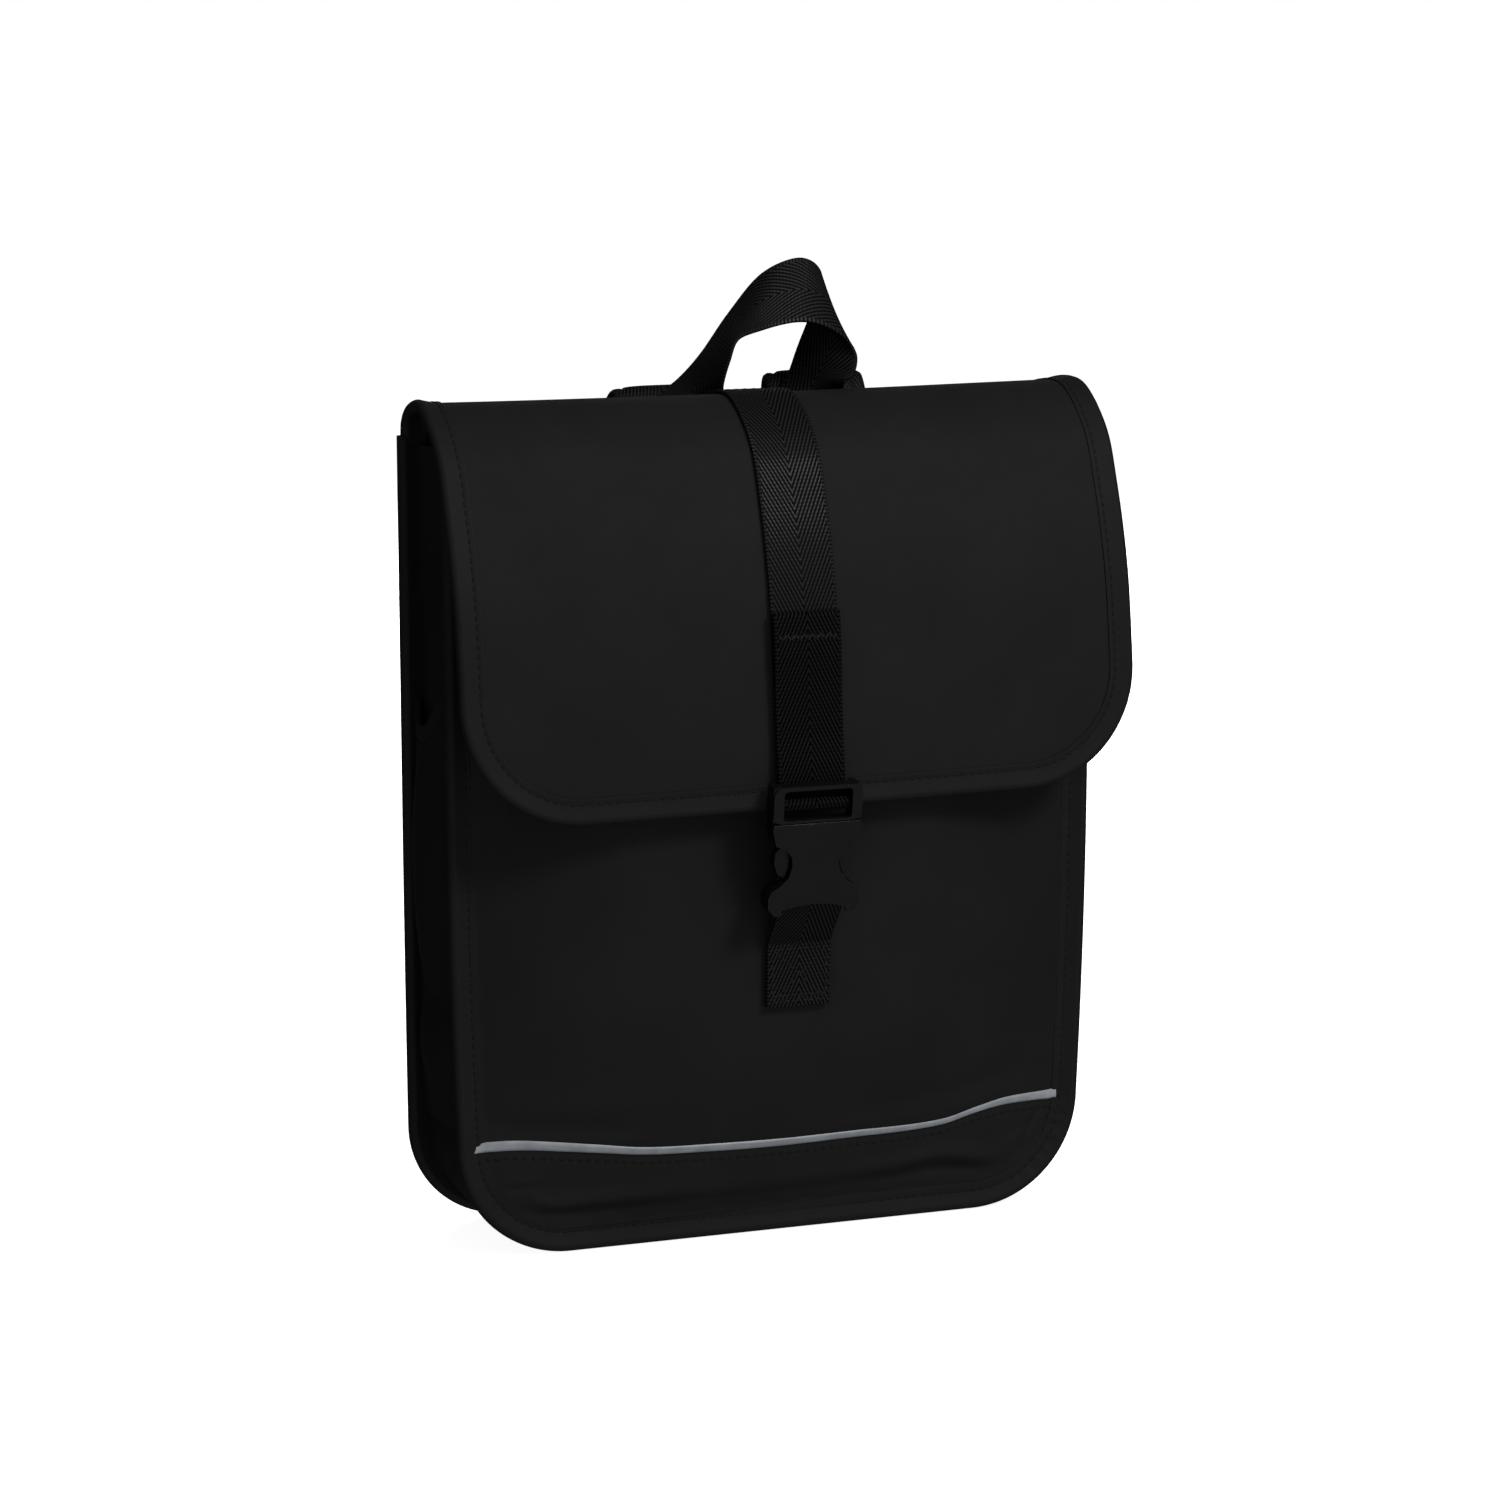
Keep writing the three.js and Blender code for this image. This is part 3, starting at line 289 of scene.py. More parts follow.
# Materials
class Nodes:
    """The nodes of a new material, or of the world, and short words for linking them."""

    def __init__(self, owner):
        owner.use_nodes = True
        self.owner = owner
        self.tree = owner.node_tree

    def add(self, kind, **inputs):
        node = self.tree.nodes.new(kind)
        for key, value in inputs.items():
            self.feed(node, key, value)
        return node

    def feed(self, node, key, value):
        socket = node.inputs[key]
        if isinstance(value, bpy.types.NodeSocket):
            self.tree.links.new(value, socket)
        else:
            socket.default_value = value

    def math(self, operation, a, b=0.0, c=0.0):
        node = self.tree.nodes.new("ShaderNodeMath")
        node.operation = operation
        for key, value in enumerate((a, b, c)):
            self.feed(node, key, value)
        return node.outputs[0]

    def swing(self, value, pitch):
        """A smooth wave from 0 to 1, once in every pitch."""
        wave = self.math("SINE", self.math("MULTIPLY", value, 2 * math.pi / pitch))
        return self.math("MULTIPLY_ADD", wave, 0.5, 0.5)

    def place(self, kind):
        return self.add("ShaderNodeTexCoord").outputs[kind]

    def noise(self, where, scale, detail=2.0, roughness=0.5):
        node = self.add("ShaderNodeTexNoise", Vector=where, Scale=scale, Detail=detail, Roughness=roughness)
        return node.outputs["Fac"]

    def ramp(self, value, low, high):
        node = self.add("ShaderNodeValToRGB", Fac=value)
        first, last = node.color_ramp.elements
        first.position, first.color = low[0], (*low[1], 1)
        last.position, last.color = high[0], (*high[1], 1)
        return node.outputs["Color"]

    def span(self, value, low, high, start=0.0, end=1.0, interpolation="LINEAR"):
        """Low to high, as the value goes from start to end."""
        node = self.add("ShaderNodeMapRange", Value=value)
        node.interpolation_type = interpolation
        for key, number in (("From Min", start), ("From Max", end), ("To Min", low), ("To Max", high)):
            self.feed(node, key, number)
        return node.outputs["Result"]

    def bump(self, height, strength, distance, normal=None):
        node = self.add("ShaderNodeBump", Height=height, Strength=strength, Distance=distance)
        if normal is not None:
            self.feed(node, "Normal", normal)
        return node.outputs["Normal"]

    def finish(self, **inputs):
        for key, value in inputs.items():
            self.feed(self.tree.nodes["Principled BSDF"], key.replace("_", " "), value)
        return self.owner


def scaled(shade, share):
    return tuple(share * s for s in shade)


def coated_cloth(name, shade, roughness):
    """Matte cloth under a smooth coating: a faint pebble in the coat, and soft unevenness in its gloss."""
    n = Nodes(bpy.data.materials.new(name))
    where = n.place("Object")
    pebble = n.bump(n.noise(where, scale=1500.0, detail=3.0, roughness=0.55), strength=0.16, distance=0.00012)
    patches = n.noise(where, scale=22.0, detail=3.0)
    wear = n.noise(where, scale=140.0, detail=4.0, roughness=0.6)
    return n.finish(
        Base_Color=n.ramp(patches, (0.3, scaled(shade, 0.9)), (0.7, scaled(shade, 1.1))),
        Roughness=n.span(wear, roughness - 0.05, roughness + 0.05),
        Specular_IOR_Level=0.12,
        Normal=n.bump(n.noise(where, scale=320.0), strength=0.06, distance=0.0004, normal=pebble),
    )


RIB_PITCH = 3.5
RIB_SLANT = 2.1
PICK_PITCH = 1.6
ROLLED_EDGE = 1.2
DULL_ROUGHNESS = 0.7
# How much turned webbing is darkened: painted shade.
REVERSE_PAINTED_SHADE = 0.6
REVERSE_DULLS = 0.3


def herringbone(name, width, dark, pale, roughness):
    """Herringbone webbing: ribs that meet in a row of chevrons along its middle, with plain rolled edges, and
    painted shade that darkens the gaps between the ribs.

    Where a piece marks its webbing as turned, it shows its duller back, darkened by painted shade.
    """
    n = Nodes(bpy.data.materials.new(name))
    uv = n.add("ShaderNodeSeparateXYZ", Vector=n.place("UV"))
    across = n.math("ABSOLUTE", uv.outputs["X"])
    along = uv.outputs["Y"]
    rib = n.swing(n.math("MULTIPLY_ADD", across, RIB_SLANT, along), RIB_PITCH * MM)
    pick = n.swing(along, PICK_PITCH * MM)
    weave = n.math("MULTIPLY", rib, n.math("MULTIPLY_ADD", pick, 0.4, 0.6))
    cord = n.math("MULTIPLY_ADD", pick, 0.5, 0.2)
    edge = n.math("GREATER_THAN", across, (width / 2 - ROLLED_EDGE) * MM)
    height = n.add("ShaderNodeMix", Factor=edge, A=weave, B=cord).outputs["Result"]
    fuzz = n.noise(n.place("Object"), scale=1700.0)
    # The weave stretched to a tone: pale ribs, and gaps near black as painted shade; it also sets the gloss.
    rib_tone_and_gap_shade = n.math("MULTIPLY_ADD", height, 2.2, -0.5)
    shade = n.math("MULTIPLY", n.span(rib_tone_and_gap_shade, dark, pale), n.math("MULTIPLY_ADD", fuzz, 0.8, 0.6))
    reverse_with_painted_shade = n.add("ShaderNodeAttribute")
    reverse_with_painted_shade.attribute_name = "reverse_with_painted_shade"
    turned_with_painted_shade = reverse_with_painted_shade.outputs["Fac"]
    return n.finish(
        # Turned webbing is darkened: painted shade.
        Base_Color=n.math("MULTIPLY", shade, n.math("MULTIPLY_ADD", turned_with_painted_shade, -REVERSE_PAINTED_SHADE, 1.0)),
        Roughness=n.math("MULTIPLY_ADD", turned_with_painted_shade, REVERSE_DULLS, n.span(rib_tone_and_gap_shade, DULL_ROUGHNESS, roughness)),
        Specular_IOR_Level=0.075,
        Normal=n.bump(height, strength=1.0, distance=0.00006),
    )


def moulded_plastic(name, shade, roughness, shine):
    """Satin moulded plastic with the fine spark texture of its mould."""
    n = Nodes(bpy.data.materials.new(name))
    where = n.place("Object")
    grain = n.noise(where, scale=2400.0)
    scuff = n.noise(where, scale=90.0, detail=4.0, roughness=0.65)
    return n.finish(
        Base_Color=n.ramp(scuff, (0.35, shade), (0.75, scaled(shade, 1.35))),
        Roughness=n.span(scuff, roughness - 0.06, roughness + 0.06),
        Specular_IOR_Level=shine,
        Normal=n.bump(grain, strength=0.12, distance=0.0001),
    )


def reflective_tape(name):
    """Pale reflective tape: fine glass beads in a grey coat."""
    n = Nodes(bpy.data.materials.new(name))
    where = n.place("Object")
    beads = n.add("ShaderNodeTexVoronoi", Vector=where, Scale=3200.0).outputs["Distance"]
    cloud = n.noise(where, scale=160.0, detail=3.0)
    return n.finish(
        Base_Color=n.ramp(cloud, (0.3, (0.29, 0.31, 0.34)), (0.7, (0.4, 0.42, 0.45))),
        Roughness=n.span(cloud, 0.34, 0.46),
        Normal=n.bump(beads, strength=0.2, distance=0.0001),
    )


def sewing_thread(name, shade):
    """Twisted thread: fine strands, with painted shade between them."""
    n = Nodes(bpy.data.materials.new(name))
    strand = n.add("ShaderNodeTexWave", Vector=n.place("Object"), Scale=900.0, Distortion=1.0).outputs["Fac"]
    return n.finish(
        Base_Color=n.ramp(strand, (0.2, shade), (0.9, scaled(shade, 1.8))),
        Roughness=0.7,
        Specular_IOR_Level=0.2,
        Normal=n.bump(strand, strength=0.3, distance=0.0001),
    )


CLOTH_SHADE = (0.0125, 0.0125, 0.0128)
cloth = coated_cloth("coated_cloth", CLOTH_SHADE, roughness=0.72)
# The sides' cloth: the same cloth as the front, darker as painted shade.
painted_shade_side_cloth = coated_cloth("side_cloth_painted_shade", scaled(CLOTH_SHADE, 0.85), roughness=0.7)
tape = coated_cloth("binding_tape", scaled(CLOTH_SHADE, 0.95), roughness=0.66)
strap_weave = herringbone("strap_webbing", STRAP_WIDTH, dark=0.0002, pale=0.019, roughness=0.26)
pad_weave = herringbone("pad_webbing", PAD_WEAVE_WIDTH, dark=0.0002, pale=0.018, roughness=0.34)
plastic = moulded_plastic("buckle_plastic", (0.0042, 0.0042, 0.0044), roughness=0.36, shine=0.17)
# The buckle's rounded edges: shinier, and lighter as a painted highlight.
plastic_edge_highlight = moulded_plastic("buckle_edge_painted_highlight", (0.009, 0.009, 0.0093), roughness=0.24, shine=0.5)
silver = reflective_tape("reflective_tape")
thread = sewing_thread("thread", (0.0045, 0.0045, 0.0046))
strap_thread = sewing_thread("strap_thread", (0.011, 0.011, 0.0115))


# Outlines of the front and back panels
class Outline:
    """A panel with straight sides that draw in a little towards two rounded lower corners."""

    def __init__(self, half_width, taper, radius):
        self.top = half_width
        self.taper = taper
        self.radius = radius
        self.bottom_half = float(self.half_width(np.array(0.0)))

    def half_width(self, z):
        side = self.top - self.taper * (1 - clamp01((z - self.radius) / TAPER_HEIGHT)) ** 2
        drop = np.clip(self.radius - z, 0, self.radius)
        return side - self.radius + np.sqrt(self.radius**2 - drop**2)

    def inset(self, x, z):
        """How far a point lies inside the edge."""
        past = np.abs(x) - self.bottom_half
        side = self.half_width(np.maximum(z, self.radius)) - np.abs(x)
        corner = self.radius - np.hypot(past, self.radius - z)
        low = np.where(past > 0, corner, np.minimum(side, z))
        return np.where(z < self.radius, low, side)

    def across(self, u, z):
        """The place across of a column: inside the binding up to 1, and past 1 on the tucked edge."""
        inside = np.minimum(np.abs(u), 1) * (self.half_width(z) - BINDING_WIDTH)
        tucked = np.maximum(0, np.abs(u) - 1) * (BINDING_WIDTH - EDGE_TUCK)
        return np.sign(u) * (inside + tucked)

    def edge(self, top, bottom_steps, arc_steps, side_steps):
        """The edge from the top left, round the bottom, to the top right.

        Returns its points (x, z) and its outward directions (x, z).
        """
        bottom = np.linspace(0, self.bottom_half, bottom_steps + 1)
        t = np.linspace(0, np.pi / 2, arc_steps + 1)[1:]
        z = np.linspace(self.radius, top, side_steps + 1)[1:]
        x = np.concatenate([bottom, self.bottom_half + self.radius * np.sin(t), self.half_width(z)])
        nx = np.concatenate([np.zeros_like(bottom), np.sin(t), np.ones_like(z)])
        nz = np.concatenate([-np.ones_like(bottom), -np.cos(t), np.zeros_like(z)])
        z = np.concatenate([np.zeros_like(bottom), self.radius * (1 - np.cos(t)), z])
        return [np.concatenate([mirror * a[:0:-1], a]) for a, mirror in ((x, -1), (z, 1), (nx, -1), (nz, 1))]


front_outline = Outline(half_width=141, taper=3, radius=48)
back_outline = Outline(half_width=142, taper=0.5, radius=42)
INSIDE_COLUMNS = 0.94


def panel_column(u):
    """Most of a grid's columns lie inside the binding, and a few on the tucked edge."""
    reach = np.abs(u)
    tucked = 1 + (reach - INSIDE_COLUMNS) / (1 - INSIDE_COLUMNS)
    return np.sign(u) * np.where(reach < INSIDE_COLUMNS, reach / INSIDE_COLUMNS, tucked)


# Front panel and base panel: swell, seam and crease as graphs, strokes of x, z, length, width, turn, depth
front_share = graph(
    (11.5, 0), (20, 0.17), (32, 0.36), (50, 0.6), (85, 0.9), (120, 1), (215, 1), (268, 0.84), (318, 0.3),
)
base_share = graph((2, 0), (11.5, 0.02), (16, 0.11), (20, 0.2), (26, 0.3), (33, 0.39), (43, 0.51), (50, 0.6))
seam_wave = graph(
    (-131, 0.2), (-110, 2.0), (-83, 1.4), (-63, 0.0), (-40, -0.4), (-4, -0.8),
    (30, -0.4), (71, -0.5), (87, 2.0), (102, 2.8), (123, 0.6), (131, 0),
)
crease_height = graph(
    (-125, 18), (-108, 18), (-95, 18.2), (-61, 19), (-9, 19.6), (49, 21.8), (72, 24.2), (94, 20), (125, 19),
)
crease_depth = graph(
    (-125, 0), (-112, 0.8), (-92, 1.4), (-64, 1.1), (-42, 0.55), (-9, 0.4), (30, 0.55), (52, 1.1),
    (74, 1.5), (90, 1.2), (101, 0.4), (115, 0),
)
FRONT_STROKES = [
    (-100, 55, 26, 4.5, -2, -1.3),
    (-95, 66, 34, 7, -4, 0.7),
    (60, 56, 40, 5, 4, -0.7),
    (96, 62, 16, 6, 14, -0.9),
    (-70, 190, 60, 24, 62, -0.6),
    (75, 150, 55, 26, -58, 0.6),
    (0, 118, 26, 34, 0, -0.5),
]
BASE_STROKES = [
    (-117, 29, 7, 1.6, 4, -0.9),
    (-112, 32.5, 8, 2.2, 4, 0.5),
    (-105, 25, 9, 2, -30, 0.4),
    (116, 36, 6, 1.7, 60, -1.3),
    (120, 30, 5, 1.5, 35, -1.1),
    (113, 24, 6, 1.6, 15, -0.8),
    (110, 31, 9, 2.4, 30, 0.6),
]
SEAM_HALF_WIDTH = front_outline.half_width(SEAM_LEVEL) - BINDING_WIDTH
SEAM_DIP = 1.1
SEAM_DIP_WIDTH = 3.2
CREASE_REACH = 5.4
CREASE_SWELL = 3.3
PUCKER_DEPTH = 0.35
PUCKER_FADE = 6.0
CLOTH_LEAVES_BINDING = 9.0
SWELL_FULLNESS = 0.9
ROWS_CROWD_LOW = 1.15


def seam_height(x):
    share = np.minimum(1, np.abs(x) / SEAM_HALF_WIDTH)
    return SEAM_END_HEIGHT - SEAM_SAG * (1 - share**2) + seam_wave(x)


def base_crease(x, z):
    """Where the cloth turns under: swollen above the crease and drawn in below it."""
    t = (z - crease_height(x)) / CREASE_REACH
    return crease_depth(x) * CREASE_SWELL * t * np.exp(-(t**2))


def seam_puckers(x, z):
    """Small gathers where the cloth runs into its bindings."""
    inset = np.maximum(front_outline.inset(x, z) - BINDING_WIDTH, 0)
    run = np.where(z < SEAM_LEVEL, x, z)
    wave = np.sin(run * 0.31 + 0.6 * np.sin(run * 0.083))
    return PUCKER_DEPTH * wave * np.exp(-inset / PUCKER_FADE) * smooth(inset / 2)


def front_out(x, z, share):
    from_binding = front_outline.half_width(z) - np.abs(x) - BINDING_WIDTH
    return FRONT_CROWN * ease(from_binding / SIDE_SWELL) ** SWELL_FULLNESS * share(z)


def front_y(x, z):
    """Depth of the cloth's outer face over the whole front."""
    inside = smooth((front_outline.inset(x, z) - BINDING_WIDTH) / CLOTH_LEAVES_BINDING)
    seam = seam_height(x)
    upper = front_out(x, z, front_share) + inside * strokes(x, z, FRONT_STROKES)
    lower = front_out(x, z, base_share) + inside * (strokes(x, z, BASE_STROKES) + base_crease(x, z))
    folded = SEAM_DIP * np.exp(-(((z - seam) / SEAM_DIP_WIDTH) ** 2)) * inside
    out = np.where(z > seam, upper, lower) - folded + seam_puckers(x, z)
    return -EDGE_PLANE - CLOTH / 2 - out


def front_place(u, height):
    """The front's outer face, with its heights worked out from the seam's height at each column."""
    column = panel_column(u)
    z = height(seam_height(front_outline.across(column, SEAM_LEVEL)))
    x = front_outline.across(column, z)
    return x, front_y(x, z), z


def front_panel_place(u, v):
    return front_place(u, lambda seam: seam + (FRONT_TOP - seam) * share_of(v) ** ROWS_CROWD_LOW)


def base_panel_place(u, v):
    return front_place(u, lambda seam: EDGE_TUCK + (seam - EDGE_TUCK) * share_of(v))


front_panel = cloth_sheet("front_panel_cloth", 150, 120, front_panel_place, CLOTH)
dress(front_panel, cloth, "cloth", "front_panel")
base_panel = cloth_sheet("base_panel_cloth", 190, 44, base_panel_place, CLOTH)
dress(base_panel, cloth, "cloth", "base_panel")

# Reflective strip in the seam, with the topstitching below it
STRIP_TAPE = 0.8
STRIP_TUCK = 1.5
STRIP_LEFT_REACH = 2.2
STRIP_END_SLANT = 0.65
STRIP_OVERLAP = 0.3
STRIP_STANDS = 0.15
STRIP_CROWN = 0.85
SEAM_STITCH_DROP = 3.6
strip_height = graph(
    (-131, 3.0), (-126, 4.3), (-100, 4.2), (-60, 3.7), (-20, 3.8), (30, 3.4), (70, 3.0), (86, 3.0),
    (105, 3.7), (126, 4.2),
)


def strip_place(u, v):
    x = u * (SEAM_HALF_WIDTH + STRIP_TUCK) - STRIP_LEFT_REACH * smooth(-u)
    x = x + STRIP_END_SLANT * smooth((-u - 0.9) / 0.1) * (v - 1)
    z = seam_height(x) - STRIP_OVERLAP + strip_height(x) * share_of(v)
    return x, front_y(x, z) - STRIP_STANDS - STRIP_CROWN * (1 - v**4), z


strip = cloth_sheet("reflective_strip_tape", 180, 8, strip_place, STRIP_TAPE)
dress(strip, silver, "reflective", "reflective_strip")

seam_x = np.linspace(-127, 127, 400)
seam_z = seam_height(seam_x) - SEAM_STITCH_DROP
seam_path = np.column_stack([seam_x, front_y(seam_x, seam_z) - THREAD_STANDS, seam_z])
stitch_row("seam_stitches", seam_path, (0, -1, 0.25), thread, length=2.7, width=1.0, height=0.8)

# Bindings: a tape folded round the edge of a panel; each tape a width and the inset of its stitches
PANEL_PULL = 0.44
LEFT_TAPE = (9.6, 8.6)
RIGHT_TAPE = (12.0, 8.2)
TAPES_MEET = 60.0
LEFT_GATHERS = 0.06
RIGHT_GATHERS = 0.13
SUNK_THREAD_STANDS = 0.05


def fold_profile(width, half, stitch, pull):
    """The tape's outer face as points (inward, across): from one inner edge, round the nose, to the other.

    The tape falls from its roll to the stitching, which pulls it down to the share `pull` of its height.
    """
    t = np.linspace(0, np.pi / 2, 8)
    roll = 1.1 * half
    nose = np.column_stack([roll * (1 - np.cos(t)), half * np.sin(t)])
    run = stitch - roll
    side = graph(
        (roll, 1.0),
        (stitch - 0.66 * run, 0.62 + 0.38 * pull),
        (stitch - 0.3 * run, 0.24 + 0.76 * pull),
        (stitch - 0.7, pull + 0.05),
        (stitch, pull),
        (stitch + 0.6, pull + 0.06),
        (width - 0.3, pull + 0.12),
        (width, pull + 0.08),
    )
    inward = np.linspace(roll, width, 19)[1:]
    face = np.vstack([nose, np.column_stack([inward, half * side(inward)])])
    other = face[:0:-1] * (1, -1)
    return np.vstack([other, face])


def folded_tape(name, origin, inward, across, profiles, share, gathers):
    """Two profiles, mixed by a share for each frame, carried along the frames and gathered past the roll."""
    steps, points = len(origin) - 1, len(profiles[0]) - 1

    def place(u, v):
        n, k = step_of(u, steps), step_of(v, points)
        section = profiles[0][k] + (profiles[1][k] - profiles[0][k]) * share[n, None]
        height = section[:, 1] * (1 + gathers[n] * smooth((section[:, 0] - 2.5) / 4))
        return (origin[n] + inward[n] * section[:, :1] + across[n] * height[:, None]).T

    return cloth_sheet(name, steps, points, place, BINDING_TAPE, SMOOTH_FOLDS)


def corner_gathers(origin):
    """Small gathers of a tape that is turned round a lower corner of a panel."""
    x, z = origin[:, 0], origin[:, 2]
    run = run_along(origin)
    corner = smooth((np.abs(x) - 88) / 26) * smooth((58 - z) / 22) * smooth((z - 1) / 8)
    wave = np.sin(run * 0.83 + 0.9 * np.sin(run * 0.31)) + 0.5 * np.sin(run * 1.45)
    return corner * wave * np.where(x > 0, RIGHT_GATHERS, LEFT_GATHERS)


def panel_binding(panel, outline, top, y, stitch_side):
    """The tape round a panel's sides and bottom, with stitches on the side that faces out of the bag."""
    x, z, nx, nz = outline.edge(top, 80, 50, 200)
    origin = np.column_stack([x, np.full_like(x, y), z])
    inward = np.column_stack([-nx, np.zeros_like(x), -nz])
    across = np.tile((0.0, -1.0, 0.0), (len(x), 1))
    half = BINDING_THICKNESS / 2
    gathers = corner_gathers(origin)
    share = smooth((x + TAPES_MEET) / (2 * TAPES_MEET))
    profiles = [fold_profile(width, half, stitch, PANEL_PULL) for width, stitch in (LEFT_TAPE, RIGHT_TAPE)]
    piece = folded_tape(f"{panel}_binding_tape", origin, inward, across, profiles, share, gathers)
    dress(piece, tape, "trim", f"{panel}_binding")
    rise = half * PANEL_PULL * (1 + gathers) + SUNK_THREAD_STANDS
    inset = LEFT_TAPE[1] + (RIGHT_TAPE[1] - LEFT_TAPE[1]) * share
    path = origin + inward * inset[:, None] + across * rise[:, None] * stitch_side
    stitch_row(f"{panel}_binding_tape_stitches", path, across * stitch_side, thread)
    return piece


front_binding = panel_binding("front", front_outline, FRONT_TOP - 1, -EDGE_PLANE, 1)
back_binding = panel_binding("back", back_outline, BACK_TOP + 3, EDGE_PLANE, -1)

# Back panel: one pad under cloth, held down by two rows of stitching
BACK_FACE = EDGE_PLANE + CLOTH / 2
PAD_ROWS = (118.0, 222.0)
PAD_ROW_PULL = 0.75
PAD_ROW_WIDTH = 5.5
PAD_TOP_FADE = 16.0


def padding_rise(x, z):
    pad = BACK_PADDING * smooth((back_outline.inset(x, z) - BINDING_WIDTH) / PADDING_RISE)
    pad = pad * smooth((BACK_TOP - z) / PAD_TOP_FADE)
    for row in PAD_ROWS:
        pad = pad * (1 - PAD_ROW_PULL * np.exp(-(((z - row) / PAD_ROW_WIDTH) ** 2)))
    return pad


def back_panel_place(u, v):
    z = EDGE_TUCK + (BACK_TOP - EDGE_TUCK) * share_of(v)
    x = back_outline.across(-panel_column(u), z)
    return x, BACK_FACE + padding_rise(x, z), z


back_panel = cloth_sheet("back_panel_pad", 90, 130, back_panel_place, CLOTH)
dress(back_panel, cloth, "cloth", "back_panel")
for number, height in enumerate(PAD_ROWS):
    row_x = np.linspace(-118, 118, 200)
    row_z = np.full_like(row_x, height)
    row_y = BACK_FACE + padding_rise(row_x, row_z) + THREAD_STANDS
    stitch_row(f"back_stitches_{number}", np.column_stack([row_x, row_y, row_z]), (0, 1, 0), thread)

# Gusset: one band round the sides and the base; strokes of y, z, length, width, turn, depth
GUSSET_HALF_DEPTH = EDGE_PLANE - BINDING_THICKNESS / 2 - 0.35
SIDE_RECESS = 8.0
BASE_EDGE_RECESS = 5.0
BASE_SAGS_OVER = 0.34
gusset_fold = graph((54, 1), (150, 2), (205, -1.5), (235, -3), (262, 1), (290, 8), (330, 13))
GUSSET_STROKES = [
    (-8, 300, 14, 3, 18, 1.2),
    (6, 288, 15, 3, -14, -1.2),
    (-4, 272, 12, 3, 8, 0.9),
    (10, 262, 12, 3, -22, -0.8),
    (-12, 30, 8, 3, 35, -1.0),
    (12, 24, 8, 3, -35, -1.0),
]
gusset_back, gusset_front = (np.array(o.edge(GUSSET_TOP, 40, 24, 90)) for o in (back_outline, front_outline))
GUSSET_STEPS = gusset_back.shape[1] - 1


def gusset_place(u, v):
    n = step_of(u, GUSSET_STEPS)
    forward = share_of(v)
    x, z, nx, nz = gusset_back[:, n] + (gusset_front[:, n] - gusset_back[:, n]) * forward
    sideways = np.abs(nx)
    middle = 1 - np.abs(2 * forward - 1)
    edge = BASE_EDGE_RECESS + (SIDE_RECESS - BASE_EDGE_RECESS) * sideways
    sag = (1 - sideways) * -BASE_EDGE_RECESS * smooth(middle / BASE_SAGS_OVER)
    fold = sideways * gusset_fold(z) * smooth(middle)
    y = GUSSET_HALF_DEPTH * (1 - 2 * forward)
    creases = sideways * smooth(middle * 2) * strokes(y, z, GUSSET_STROKES)
    depth = edge + sag + fold - creases
    return x - nx * depth, y, z - nz * depth


gusset = cloth_sheet("gusset_cloth", GUSSET_STEPS, 40, gusset_place, CLOTH)
dress(gusset, painted_shade_side_cloth, "cloth", "gusset")

# Side pockets: slack cloth with a rolled hem, whose profile is rows of (down, out)
POCKET_FLOOR = 50.0
POCKET_SEAM_TOP = 247.0
POCKET_HEM_SAG = 29.0
POCKET_CLOTH = 1.5
POCKET_GAP = 0.75
HEM_TAPE = 0.7
HEM_STANDS = 0.25
HEM_STITCH_DROP = 7.0
HEM_THREAD_STANDS = 0.6
HEM_STEPS = 59
HEM_PROFILE = np.array([
    (9.0, -0.9), (8.6, 0.0), (6, 0.2), (3, 0.4), (1, 0.6), (0, 0.1), (-0.5, -0.9), (0, -1.9),
])
pocket_bulge = graph((50, 0.8), (62, 3), (82, 7.5), (107, 4), (135, 8.5), (180, 9.5), (205, 7), (247, 5))
POCKET_STROKES = [
    (4, 92, 16, 4, 12, 1.2),
    (-6, 104, 18, 4, -8, -1.0),
    (8, 120, 16, 5, 14, 0.8),
    (-10, 150, 20, 6, 60, 0.7),
    (10, 190, 26, 6, 75, -0.7),
    (-12, 66, 10, 3, 30, -0.8),
]


def pocket_face(side, v, r, out=0.0):
    """The pocket's outer face: v from one seam to the other, r from its floor to its hem."""
    slack = np.sin(np.pi * clamp01(v))
    forward = 1 - v if side > 0 else v
    sag = np.where(forward > 0.5, slack**1.5, 0.75 + 0.25 * slack**1.5)
    z = POCKET_FLOOR + (POCKET_SEAM_TOP - POCKET_HEM_SAG * sag - POCKET_FLOOR) * r
    y = side * GUSSET_HALF_DEPTH * (2 * v - 1)
    edge = back_outline.half_width(z) + (front_outline.half_width(z) - back_outline.half_width(z)) * forward
    creases = strokes(y, z, POCKET_STROKES) * slack
    stand = POCKET_CLOTH + POCKET_GAP + pocket_bulge(z) * slack**1.2 + creases
    return side * (edge - SIDE_RECESS + stand + out), y, z


